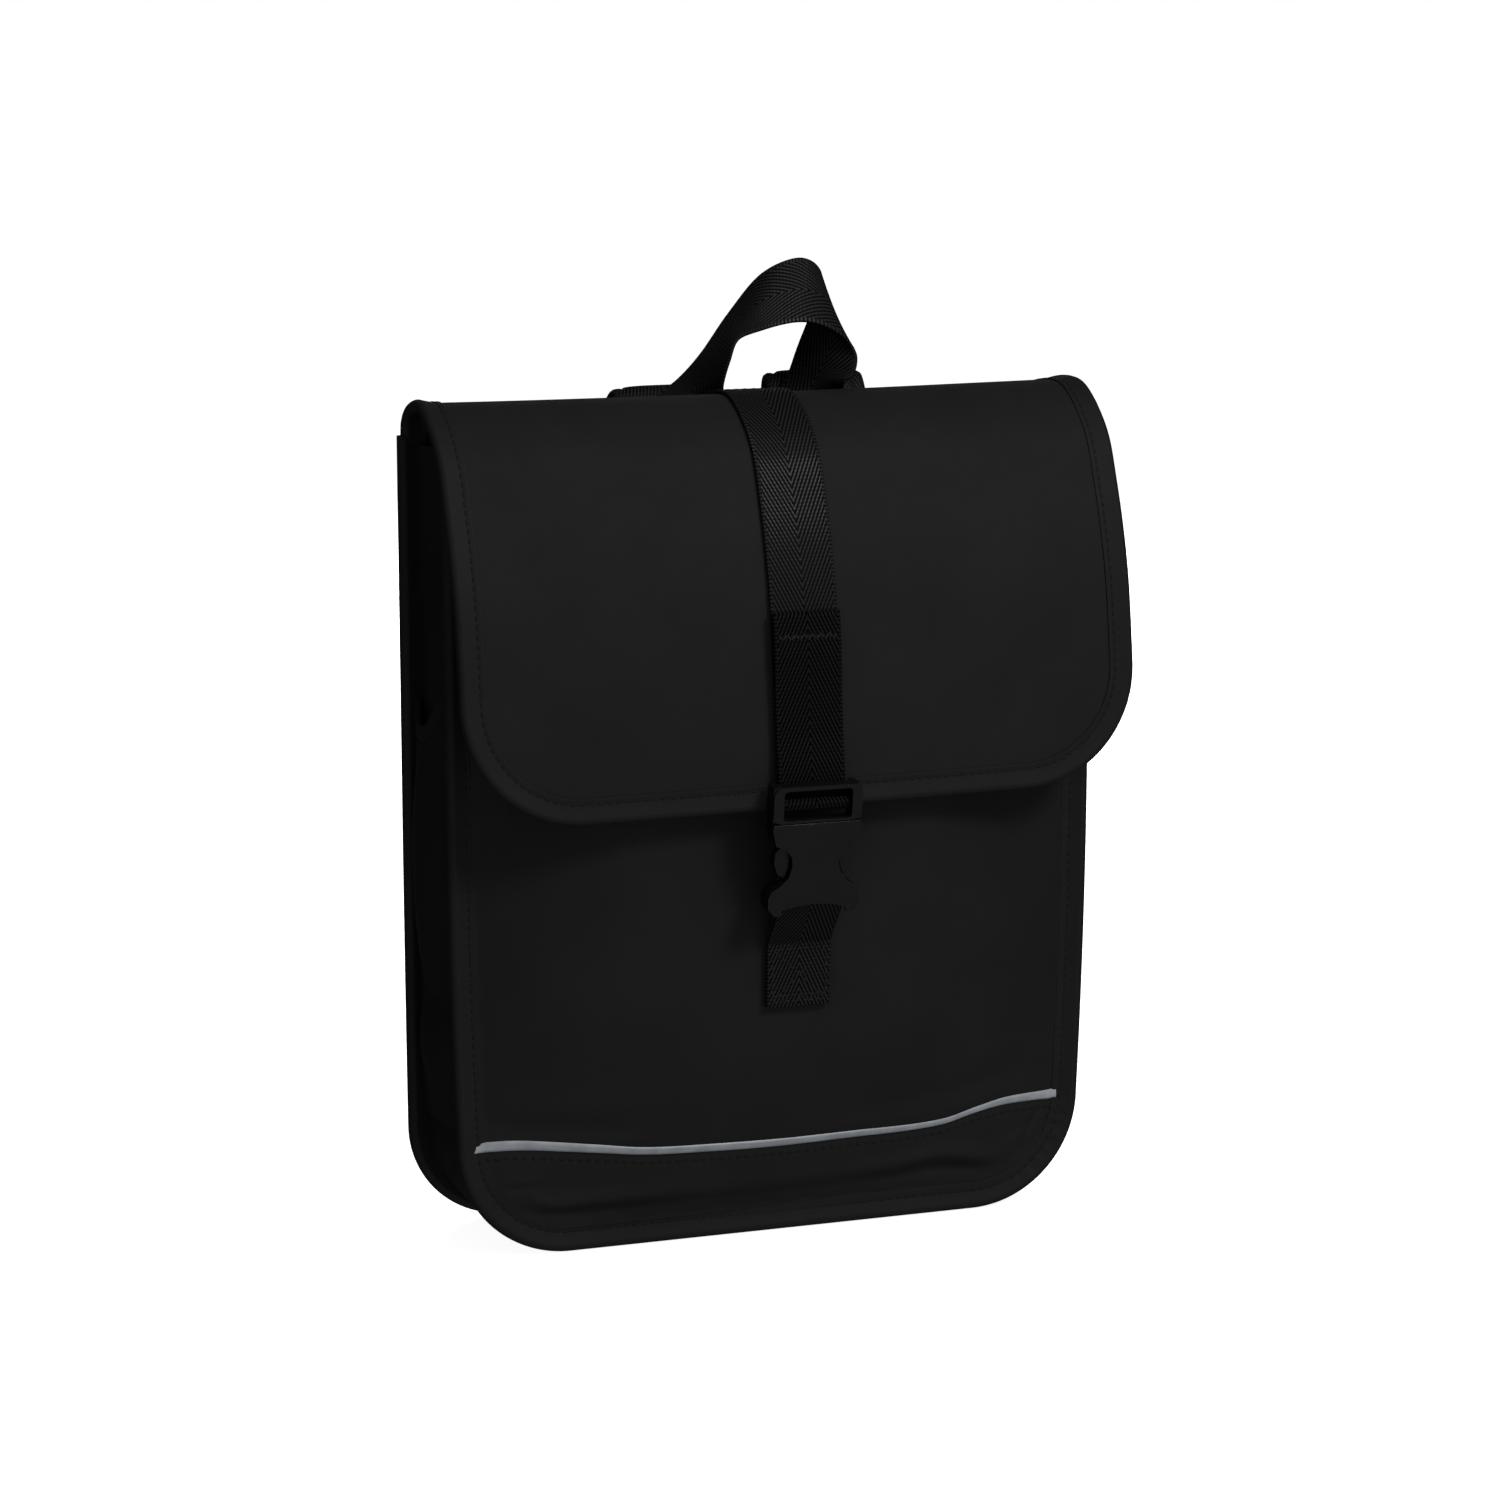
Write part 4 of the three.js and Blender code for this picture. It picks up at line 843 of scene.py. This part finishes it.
def side_pocket(name, side):
    def sheet_place(u, v):
        return pocket_face(side, share_of(u), share_of(v))

    sheet = cloth_sheet(f"side_pocket_{name}_cloth", 44, 90, sheet_place, POCKET_CLOTH)
    dress(sheet, painted_shade_side_cloth, "cloth", f"side_pocket_{name}")
    mouth = np.linspace(0, 1, HEM_STEPS + 1)

    def hem_place(u, v):
        down, out = HEM_PROFILE[step_of(v, len(HEM_PROFILE) - 1)].T
        x, y, z = pocket_face(side, mouth[step_of(u, HEM_STEPS)], np.ones(len(u)))
        return x + side * out + side * HEM_STANDS, y, z - down

    hem = cloth_sheet(
        f"side_pocket_{name}_hem", HEM_STEPS, len(HEM_PROFILE) - 1, hem_place, HEM_TAPE, SMOOTH_FOLDS
    )
    dress(hem, tape, "trim")
    x, y, z = pocket_face(side, mouth, np.ones(len(mouth)), HEM_THREAD_STANDS)
    path = np.column_stack([x, y, z - HEM_STITCH_DROP])[3:-3]
    stitch_row(f"side_pocket_{name}_stitches", path, (side, 0, 0), thread)


side_pocket("left", -1)
side_pocket("right", 1)

# Flap: its middle line as rows of (y, z), and strokes of x, distance along, length, width, turn, depth
FLAP_PROFILE = [
    (32, 331.2), (29.5, 339.5), (21, 345), (7, 348.4), (-6, 349.6), (-17, 347.8), (-31, 340), (-42.5, 328.5),
    (-50.8, 310), (-57.5, 291), (-63, 268), (-67.3, 232), (-69.4, 200), (-69.6, 187.5),
]
FLAP_STROKES = [
    (-60, 150, 70, 20, 64, -0.7),
    (-22, 165, 60, 16, 78, -0.6),
    (62, 140, 70, 24, -70, 0.6),
    (20, 150, 50, 14, 90, 0.5),
    (95, 190, 36, 12, -40, -0.6),
    (-105, 200, 32, 12, 45, -0.5),
]
TOP_EDGE_LIFT = 1.0
TOP_LEAN = 0.5
FLAP_CROWN = 3.0
FLAP_SKEW = 1.8
FLAP_SHIFT = 1.7
FLAP_TOP_AT = 42.0
FLAP_TOP_REACH = 45.0
FLAP_WIDENS_OVER = 60.0
FLAP_SEAM = 3.0
FLAP_SEAM_STITCHES_AT = 1.5
FLAP_PULL = 0.52
FLAP_STEPS = 600
flap_line, FLAP_LENGTH = along_line(curve_through(FLAP_PROFILE, np.linspace(0, 1, 800)), FLAP_STEPS)
flap_run = np.linspace(0, FLAP_LENGTH, FLAP_STEPS + 1)
flap_start = (flap_line[1] - flap_line[0]) / flap_run[1]


def flap_half_width(s):
    widened = smooth(s / FLAP_WIDENS_OVER)
    side = FLAP_BACK_HALF_WIDTH + (FLAP_FRONT_HALF_WIDTH - FLAP_BACK_HALF_WIDTH) * widened
    drop = np.clip(FLAP_CORNER_RADIUS - (FLAP_LENGTH - s), 0, FLAP_CORNER_RADIUS)
    return side - FLAP_CORNER_RADIUS + np.sqrt(FLAP_CORNER_RADIUS**2 - drop**2)


def flap_at(x, s):
    """A point of the flap's outer face at distance s along it and x across it, without its folds."""
    before = np.minimum(s, 0)
    y = np.interp(s, flap_run, flap_line[:, 0]) + before * flap_start[0]
    z = np.interp(s, flap_run, flap_line[:, 1]) + before * flap_start[1]
    side = x / FLAP_FRONT_HALF_WIDTH
    near_top = smooth(1 - np.abs(s - FLAP_TOP_AT) / FLAP_TOP_REACH)
    down = clamp01((s - FLAP_TOP_AT) / (FLAP_LENGTH - FLAP_TOP_AT))
    lift = (TOP_EDGE_LIFT * side**2 + TOP_LEAN * side) * near_top + FLAP_SKEW * side * down**2
    return np.column_stack([x + FLAP_SHIFT * down, y + FLAP_CROWN * side**2 * smooth(3 * down), z + lift])


def flap_steps(x, s):
    """A millimetre's step along the flap's outer face and one across it, kept clear of its two ends."""
    s = np.clip(s, 0.6, FLAP_LENGTH - 0.6)
    return flap_at(x, s + 0.5) - flap_at(x, s - 0.5), flap_at(x + 0.5, s) - flap_at(x - 0.5, s)


def flap_out(x, s):
    return unit(np.cross(*flap_steps(x, s)))


def flap_place(u, v):
    s = -FLAP_SEAM + (FLAP_LENGTH - EDGE_TUCK + FLAP_SEAM) * share_of(v)
    x = -u * (flap_half_width(s + EDGE_TUCK) - EDGE_TUCK)
    clear = smooth((flap_half_width(s) - np.abs(x) - 12) / 20) * smooth((FLAP_LENGTH - s - 14) / 20)
    return (flap_at(x, s) + flap_out(x, s) * (clear * strokes(x, s, FLAP_STROKES))[:, None]).T


flap = cloth_sheet("flap_cloth", 140, 150, flap_place, CLOTH)
dress(flap, cloth, "cloth", "flap")


def flap_edge_frames():
    """The middle of the flap's edge from the back left, round the front, to the back right."""
    straight = np.linspace(-FLAP_SEAM, FLAP_LENGTH - FLAP_CORNER_RADIUS, 150)
    t = np.linspace(0, np.pi / 2, 56)[1:]
    bottom = np.linspace(FLAP_FRONT_HALF_WIDTH - FLAP_CORNER_RADIUS, 0, 72)[1:]
    corner_s = FLAP_LENGTH - FLAP_CORNER_RADIUS * (1 - np.sin(t))
    corner_x = FLAP_FRONT_HALF_WIDTH - FLAP_CORNER_RADIUS * (1 - np.cos(t))
    s = np.concatenate([straight, corner_s, np.full_like(bottom, FLAP_LENGTH)])
    x = np.concatenate([flap_half_width(straight), corner_x, bottom])
    nx = np.concatenate([np.ones_like(straight), np.cos(t), np.zeros_like(bottom)])
    ns = np.concatenate([np.zeros_like(straight), np.sin(t), np.ones_like(bottom)])
    back = slice(-2, None, -1)
    s, x = np.concatenate([s, s[back]]), np.concatenate([-x, x[back]])
    nx, ns = np.concatenate([-nx, nx[back]]), np.concatenate([ns, ns[back]])
    along = unit(flap_steps(x, s)[0])
    out = flap_out(x, s)
    inward = np.column_stack([-nx, np.zeros_like(nx), np.zeros_like(nx)]) - along * ns[:, None]
    inward -= out * np.sum(inward * out, axis=1, keepdims=True)
    return flap_at(x, s) - out * CLOTH / 2, unit(inward), out


flap_origin, flap_inward, flap_normal = flap_edge_frames()
flap_half = FLAP_BINDING_THICKNESS / 2
flap_fold = fold_profile(FLAP_BINDING_WIDTH, flap_half, FLAP_STITCH_INSET, FLAP_PULL)
even = np.zeros(len(flap_origin))
flap_binding = folded_tape(
    "flap_binding_tape", flap_origin, flap_inward, flap_normal, (flap_fold, flap_fold), even, even
)
dress(flap_binding, tape, "trim", "flap_binding")
flap_stitch_rise = flap_half * FLAP_PULL + SUNK_THREAD_STANDS
flap_stitch_path = flap_origin + flap_inward * FLAP_STITCH_INSET + flap_normal * flap_stitch_rise
stitch_row("flap_stitches", flap_stitch_path, flap_normal, thread)


def row_across_flap(name, x, s, above, material, **stitch):
    """A straight row of stitches across the flap, above its outer face."""
    s = np.full_like(x, s)
    normal = flap_out(x, s)
    stitch_row(name, flap_at(x, s) + normal * above, normal, material, **stitch)


flap_seam_x = np.linspace(-129, 129, 120)
row_across_flap("flap_seam_stitches", flap_seam_x, FLAP_SEAM_STITCHES_AT, THREAD_STANDS, thread)


# Webbing, and webbing that runs in the YZ plane
def lay_weave(piece, width, length):
    """Stretches the piece's UV map to metres: across from its middle, and along."""
    layer = piece.data.uv_layers[0]
    uv = np.empty(len(layer.data) * 2)
    layer.data.foreach_get("uv", uv)
    uv[0::2] = (uv[0::2] - 0.5) * width * MM
    uv[1::2] = uv[1::2] * length * MM
    layer.data.foreach_set("uv", uv)


def webbing(name, columns, steps, place, width, length, thickness, node):
    """A placed grid of strap webbing, thickened about its middle, with softened edges."""
    piece = cloth_grid(name, columns, steps, place)
    lay_weave(piece, width, length)
    thicken(piece, thickness, 0.0)
    bevel(piece, WEBBING_EDGE, segments=2, degrees=60)
    smooth_shaded(piece, 50)
    return dress(piece, strap_weave, "webbing", node)


def flat_webbing(name, path, width, thickness, steps, node):
    line, length = along_line(path, steps)

    def place(u, v):
        n = step_of(v, steps)
        return -u * width / 2, line[n, 0], line[n, 1]

    return webbing(name, 12, steps, place, width, length, thickness, node)


def show_reverse_with_painted_shade(piece, from_length):
    """Marks the webbing beyond a length as turned, so that it shows its back, duller and darkened by painted
    shade.
    """
    turned_with_painted_shade = piece.data.attributes.new("reverse_with_painted_shade", "FLOAT", "CORNER")
    for corner, place in zip(turned_with_painted_shade.data, piece.data.uv_layers[0].data):
        corner.value = float(place.uv.y > from_length * MM)


def arc(middle, radius, start, end, steps):
    t = np.radians(np.linspace(start, end, steps + 1))
    return np.column_stack([middle[0] + radius * np.cos(t), middle[1] + radius * np.sin(t)])


BUCKLE_AT = (-76.6, 184.0)
BUCKLE_TILT = math.radians(7)


def in_bag(y, z):
    """Where a point of the buckle's own YZ plane lies in the bag."""
    c, s = math.cos(BUCKLE_TILT), math.sin(BUCKLE_TILT)
    return np.array([BUCKLE_AT[0] + y * c - z * s, BUCKLE_AT[1] + y * s + z * c])


# Closing strap; the turn of its tail's hem is rows of (back, up)
STRAP_BAR = in_bag(0.6, 7.0)
STRAP_BAR_RADIUS = 1.5
STRAP_START = 27.0
STRAP_CLEARANCE = 0.2
STRAP_LIFT = 1.5
STRAP_LIFTS_FROM = 32.0
STRAP_LIFTS_OVER = 18.0
STRAP_LEAVES_FLAP = 6.0
STRAP_TO_BAR = 4.5
TAIL_FROM_BAR = 6.0
BAR_CLEARANCE = 0.1
LAYER_GAP = 0.35
TAIL_TOP = 266.0
HEM_LENGTH = 11.0
HEM_RISE = 1.2
HEM_RISES_BELOW = 24.0
HEM_RISES_OVER = 26.0
HEM_TURN = [(0.35, 0.55), (0.8, 0.75), (1.25, 0.55)]
HEM_UNDER = 1.55


def closing_strap_path():
    """Down the flap, round the buckle's bar, up again as the tail, and folded under at the tail's end."""
    bar_height = STRAP_BAR[1]
    s = np.linspace(STRAP_START, FLAP_LENGTH - STRAP_LEAVES_FLAP, 160)
    lifted = smooth((s - (FLAP_LENGTH - STRAP_LIFTS_FROM)) / STRAP_LIFTS_OVER)
    lift = STRAP_CLEARANCE + WEBBING / 2 + STRAP_LIFT * lifted
    zero = np.zeros_like(s)
    down = (flap_at(zero, s) + flap_out(zero, s) * lift[:, None])[:, 1:]
    step = unit(np.gradient(down, axis=0))
    outward = np.column_stack([step[:, 1], -step[:, 0]])
    keep = (down[:, 0] < 0) & (down[:, 1] < TAIL_TOP) & (down[:, 1] > bar_height + TAIL_FROM_BAR)
    hem = smooth((down[keep, 1] - (TAIL_TOP - HEM_LENGTH - HEM_RISES_BELOW)) / HEM_RISES_OVER)
    tail = (down[keep] + outward[keep] * (WEBBING + LAYER_GAP + HEM_RISE * hem)[:, None])[::-1]
    top, direction = tail[-1], outward[keep][0]
    turn = [top - direction * back + (0, up) for back, up in HEM_TURN]
    under = tail[::-1][2:24] - direction * HEM_UNDER
    wrap = arc(STRAP_BAR, STRAP_BAR_RADIUS + BAR_CLEARANCE + WEBBING / 2, 0, -260, 24)
    return np.vstack([down[down[:, 1] > bar_height + STRAP_TO_BAR], wrap, tail, turn, under])


strap_path = closing_strap_path()
flap_strap = flat_webbing("flap_strap_webbing", strap_path, STRAP_WIDTH, WEBBING, 520, "flap_strap")
show_reverse_with_painted_shade(flap_strap, along_line(strap_path[:np.argmin(strap_path[:, 1])], 1)[1])

# Stitches across the strap: a zigzag at the tail's hem, and two rows at its upper end on top of the flap
STRAP_ROW_X = np.linspace(-12.6, 12.6, 15)
STRAP_THREAD_WIDTH = 0.8
HEM_STITCH_INSET = 9.0
HEM_ZIGZAG = 1.2
END_ROW_INSETS = (3.0, 6.5)
FLAP_FRONT = slice(100, None)


def tail_stitches():
    height = TAIL_TOP - HEM_STITCH_INSET + np.resize((HEM_ZIGZAG, -HEM_ZIGZAG), len(STRAP_ROW_X))
    s = np.interp(-height, -flap_line[FLAP_FRONT, 1], flap_run[FLAP_FRONT])
    zero = np.zeros_like(s)
    path = flap_at(zero, s) + flap_out(zero, s) * (STRAP_CLEARANCE + WEBBING * 2 + LAYER_GAP + HEM_RISE)
    path[:, 0] = STRAP_ROW_X
    pitch = math.hypot(STRAP_ROW_X[1] - STRAP_ROW_X[0], 2 * HEM_ZIGZAG)
    stitch_row("tail_stitches", path, (0, -1, 0.3), strap_thread, pitch, width=STRAP_THREAD_WIDTH)


tail_stitches()
for number, inset in enumerate(END_ROW_INSETS):
    row_across_flap(
        f"strap_end_stitches_{number}", STRAP_ROW_X, STRAP_START + inset, STRAP_CLEARANCE + WEBBING,
        strap_thread, width=STRAP_THREAD_WIDTH,
    )

# Lower strap: a loop through the socket's bar, sewn down to the front panel
SOCKET_BAR = in_bag(0.0, -33.5)
SOCKET_BAR_RADIUS = 1.1
STITCHED = (103.0, 130.0)
STUB = 1.4
STUB_WIDTH = STRAP_WIDTH - 1


def stub_layer(z, layer):
    y = front_y(np.zeros_like(z), z) - LAYER_GAP - STUB / 2 - layer * (STUB + LAYER_GAP)
    return np.column_stack([y, z])


def lower_strap_path():
    z = np.linspace(*STITCHED, 12)
    front, back = stub_layer(z, 1), stub_layer(z, 0)[::-1]
    middle = (front[-1] + back[0]) / 2
    lean = math.degrees(math.atan2(SOCKET_BAR[1] - middle[1], SOCKET_BAR[0] - middle[0]))
    loop = arc(SOCKET_BAR, SOCKET_BAR_RADIUS + LAYER_GAP + STUB / 2, lean + 90, lean - 90, 14)
    return np.vstack([front, loop, back])


flat_webbing("buckle_strap_webbing", lower_strap_path(), STUB_WIDTH, STUB, 150, "buckle_strap")

# Box stitch: rows of name, x and z of one end, x and z of the other
LEFT, RIGHT, LOW, LOWER, HIGH = -11.5, 11.5, 105.5, 107.7, 127.5
BOX_STITCH = [
    ("low", LEFT, LOW, RIGHT, LOW),
    ("lower", LEFT, LOWER, RIGHT, LOWER),
    ("high", LEFT, HIGH, RIGHT, HIGH),
    ("left", LEFT, LOW, LEFT, HIGH),
    ("right", RIGHT, LOW, RIGHT, HIGH),
    ("rising", LEFT, LOW, RIGHT, HIGH),
    ("falling", LEFT, HIGH, RIGHT, LOW),
]
for name, x0, z0, x1, z1 in BOX_STITCH:
    box_x, box_z = np.linspace(x0, x1, 30), np.linspace(z0, z1, 30)
    box_y = stub_layer(box_z, 1)[:, 0] - STUB / 2 - SUNK_THREAD_STANDS
    box_path = np.column_stack([box_x, box_y, box_z])
    stitch_row(f"box_stitches_{name}", box_path, (0, -1, 0), strap_thread, pitch=2.6, length=2.1, width=0.75)


# Buckle and sliders
def moulded_copy(node, rounding):
    """A copy of a hard node in plastic, its edges rounded and a little shinier, as a mould leaves them, and
    painted lighter as a highlight.
    """
    only(frame["nodes"][node])
    bpy.ops.object.duplicate()
    piece = bpy.context.active_object
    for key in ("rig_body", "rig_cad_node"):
        del piece[key]
    piece.parent = None
    piece.name = f"{node}_body"
    piece.data.name = f"{node}_body"
    bpy.ops.object.mode_set(mode="EDIT")
    bpy.ops.mesh.select_all(action="SELECT")
    bpy.ops.mesh.remove_doubles(threshold=2e-6)
    bpy.ops.mesh.dissolve_limited(angle_limit=math.radians(2))
    bpy.ops.object.mode_set(mode="OBJECT")
    dress(piece, plastic, "plastic", node)
    # The bevels take the lighter edge plastic: a painted highlight.
    piece.data.materials.append(plastic_edge_highlight)
    bevel(piece, rounding, segments=3, degrees=40, material=1)
    smooth_shaded(piece, 45)


moulded_copy("buckle_male", 1.0)
moulded_copy("buckle_female", 0.9)
moulded_copy("strap_slider_left", 0.6)
moulded_copy("strap_slider_right", 0.6)

# Handle: one ribbon of webbing, each row its middle and the direction across it
HANDLE = [
    (-18, 38.7, 308, 1, 0, 0), (-17, 39.3, 333, 1, 0, 0), (-13.5, 39.5, 343, 0.88, -0.47, 0.1),
    (-8.3, 38, 350, 0.36, -0.93, 0), (-2, 36, 361, 0.06, -1, -0.02), (6, 35, 374, -0.2, -0.94, -0.28),
    (19.8, 35, 384.3, -0.22, -0.62, -0.75), (36.7, 35, 388.3, -0.1, -0.5, -0.86),
    (48.8, 35, 382.5, 0.1, -0.52, -0.85), (51.5, 35.5, 371, 0.42, -0.6, -0.68),
    (48, 36, 359, 0.55, -0.73, -0.4), (44, 38, 350, 0.58, -0.81, 0), (40.5, 39.5, 343, 0.88, -0.47, 0.1),
    (37.8, 39.3, 333, 1, 0, 0), (37, 38.7, 308, 1, 0, 0),
]


def ribbon_frames(rows, steps):
    """Middles and unit directions across, at even distances along a ribbon, with what else its rows hold."""
    fine = curve_through(rows, np.linspace(0, 1, 900))
    run = run_along(fine[:, :3])
    even = read_along(np.linspace(0, run[-1], steps + 1), run, fine)
    return even[:, :3], unit(even[:, 3:6]), even[:, 6:], run[-1]


def ribbon(name, rows, width, steps, node):
    middle, across, _, length = ribbon_frames(rows, steps)

    def place(u, v):
        n = step_of(v, steps)
        return (middle[n] + across[n] * (u * width / 2)[:, None]).T

    webbing(name, 14, steps, place, width, length, WEBBING, node)


ribbon("handle_webbing", HANDLE, HANDLE_WIDTH, 260, "handle")

# Shoulder straps: padded, arching back from the top of the back panel; rows of x, y, z, half width, thickness
SHOULDER_STRAP = [
    (34, 41.8, 300, 21, 3), (34, 42.4, 316, 21.5, 3.2), (34, 48.8, 332, 22, 4.5), (34, 55.2, 343, 22, 5.5),
    (34.5, 61, 344.5, 22, 6), (36, 65, 336, 22.5, 6.5), (40, 66.5, 312, 23.5, 7), (49, 65, 268, 25, 7),
    (60, 61, 218, 25, 7), (71, 55.5, 170, 23.5, 7), (80, 50.5, 130, 21, 6.5),
]
TOP_SHIFT = 16.0
RIGHT_RISE = 4.5
SHIFT_FADES_AT = 268.0
SHIFT_FADES_OVER = 40.0
PAD_THICKNESS = 7.0
PAD_COLUMNS = 28
PAD_STEPS = 150
PAD_EDGE = 0.3
PAD_SEAM_AT = 0.8
PAD_SEAM_WIDTH = 0.05
PAD_SEAM_PULL = 0.4


def shoulder_strap(name, side):
    rows = []
    for x, y, z, half, thick in SHOULDER_STRAP:
        near_top = float(smooth((z - SHIFT_FADES_AT) / SHIFT_FADES_OVER))
        rise = RIGHT_RISE * near_top if side > 0 else 0.0
        rows.append((side * x + TOP_SHIFT * near_top, y, z + rise, 1, 0, 0, half, thick))
    middle, across, sizes, length = ribbon_frames(rows, PAD_STEPS)

    def place(u, v):
        n = step_of(v, PAD_STEPS)
        return (middle[n] + across[n] * (u * sizes[n, 0])[:, None]).T

    piece = cloth_grid(f"shoulder_strap_{name}_pad", PAD_COLUMNS, PAD_STEPS, place)
    lay_weave(piece, PAD_WEAVE_WIDTH, length)
    group = piece.vertex_groups.new(name="fill")
    aside = np.abs(np.linspace(-1, 1, PAD_COLUMNS + 1))
    crown = PAD_EDGE + (1 - PAD_EDGE) * (1 - aside**3) ** 0.5
    crown *= 1 - PAD_SEAM_PULL * np.exp(-(((aside - PAD_SEAM_AT) / PAD_SEAM_WIDTH) ** 2))
    for index in range(len(piece.data.vertices)):
        row, column = divmod(index, PAD_COLUMNS + 1)
        group.add([index], float(crown[column] * sizes[row, 1] / PAD_THICKNESS), "REPLACE")
    thicken(piece, PAD_THICKNESS, 0.0, "fill")
    smooth_shaded(piece, SMOOTH_FOLDS)
    dress(piece, pad_weave, "webbing", f"shoulder_strap_{name}")


# Lower webbing of the shoulder straps, woven through the sliders: rows of (along, out) from the slider
LOWER_WIDTH = 25.0
SLIDER_AT = (88.2, 45.7, 103.0)
LOWER_END = (111.0, 36.2, 30.0)
LOWER_TUCK = (6.5, 0, -15)
PAD_END = SHOULDER_STRAP[-1][:3]
WEAVE = [(-16, -2.7), (-8.4, -2.7), (-2.6, 2.7), (2.6, 2.7), (8.4, -2.7), (15, -2.9), (26, -3.9), (39, -3.9)]


def lower_webbing(name, side):
    mirror = (side, 1, 1)
    pad_end, slider, end, tuck = (np.array(p) * mirror for p in (PAD_END, SLIDER_AT, LOWER_END, LOWER_TUCK))
    along = unit(pad_end - end)
    out = unit(np.array((0, 1, 0)) - along * along[1])
    across = np.cross(out, along)
    points = [end + tuck, end]
    points += [slider + along * c + out * o for c, o in WEAVE]
    rows = [(*p, *across) for p in along_line(points, 60)[0]]
    ribbon(f"strap_webbing_{name}_web", rows, LOWER_WIDTH, 120, f"strap_webbing_{name}")


for name, side in (("left", -1), ("right", 1)):
    shoulder_strap(name, side)
    lower_webbing(name, side)

# Floor: pale paper that gives off light, so that it stays white behind a dark bag
WHITE = (1, 1, 1, 1)
FLOOR_RADIUS = 9.0
FLOOR_DROP = 0.0005
deselect_all()
bpy.ops.mesh.primitive_circle_add(
    vertices=128, radius=FLOOR_RADIUS, fill_type="NGON", location=(0, 0, -FLOOR_DROP)
)
floor = bpy.context.active_object
floor.name = "floor"
paper = Nodes(bpy.data.materials.new("pale_paper"))
fibres = paper.noise(paper.place("Object"), scale=3.0)
floor.data.materials.append(paper.finish(
    Base_Color=paper.ramp(fibres, (0.3, (0.88, 0.88, 0.88)), (0.7, (0.9, 0.9, 0.9))),
    Roughness=0.9,
    Emission_Color=WHITE,
    Emission_Strength=0.93,
))
floor.visible_diffuse = False
floor.visible_glossy = False

# Surroundings: white to look at, while three soft glows light the bag
studio = Nodes(bpy.data.worlds.new("studio"))
bpy.context.scene.world = studio.owner


def glow(axis, dark_at, bright_at, strength):
    """Light from the surroundings that grows along one axis."""
    along = studio.add("ShaderNodeVectorMath")
    along.operation = "DOT_PRODUCT"
    studio.feed(along, 0, studio.place("Generated"))
    studio.feed(along, 1, axis)
    return studio.span(along.outputs["Value"], 0.0, strength, dark_at, bright_at, "SMOOTHSTEP")


in_front = glow((-0.04, -0.99, 0.12), dark_at=0.0, bright_at=0.75, strength=0.33)
from_the_floor = glow((0, -0.6, -0.8), dark_at=0.1, bright_at=0.9, strength=0.2)
behind = glow((0, 1, 0), dark_at=0.0, bright_at=0.8, strength=0.04)
surround = studio.tree.nodes["Background"]
studio.feed(surround, "Color", WHITE)
studio.feed(surround, "Strength", studio.math("ADD", in_front, studio.math("ADD", from_the_floor, behind)))
white = studio.add("ShaderNodeBackground", Color=WHITE, Strength=1.0)
seen = studio.add("ShaderNodeLightPath").outputs["Is Camera Ray"]
either = studio.add("ShaderNodeMixShader", Fac=seen)
studio.feed(either, 1, surround.outputs["Background"])
studio.feed(either, 2, white.outputs["Background"])
studio.feed(studio.tree.nodes["World Output"], "Surface", either.outputs["Shader"])

# Lights, in metres and watts
LIGHTS_AIM = Vector((0, 0, 0.2))


def soft_light(name, place, size, watts):
    bpy.ops.object.light_add(type="AREA", location=place)
    light = bpy.context.active_object
    light.name = name
    light.data.shape = "DISK"
    light.data.size = size
    light.data.energy = watts
    light.rotation_euler = (LIGHTS_AIM - Vector(place)).to_track_quat("-Z", "Y").to_euler()
    return light


soft_light("key", (0.85, -1.62, 1.70), size=0.6, watts=20)
soft_light("overhead", (0.1, -0.5, 1.7), size=0.8, watts=4)
soft_light("behind", (0.6, 2.0, 1.1), size=0.8, watts=55).visible_glossy = False

# Camera, in metres
AZIMUTH, ELEVATION, DISTANCE = math.radians(-20), math.radians(10.4), 1.760
TARGET = Vector((0.0004, 0, 0.1994))
towards_camera = Vector((
    math.sin(AZIMUTH) * math.cos(ELEVATION),
    -math.cos(AZIMUTH) * math.cos(ELEVATION),
    math.sin(ELEVATION),
))
bpy.ops.object.camera_add(location=TARGET + towards_camera * DISTANCE)
camera = bpy.context.active_object
camera.rotation_euler = (-towards_camera).to_track_quat("-Z", "Y").to_euler()
camera.data.sensor_width = 36
camera.data.lens = 100.8
bpy.context.scene.camera = camera
bpy.context.scene.view_settings.view_transform = "Standard"
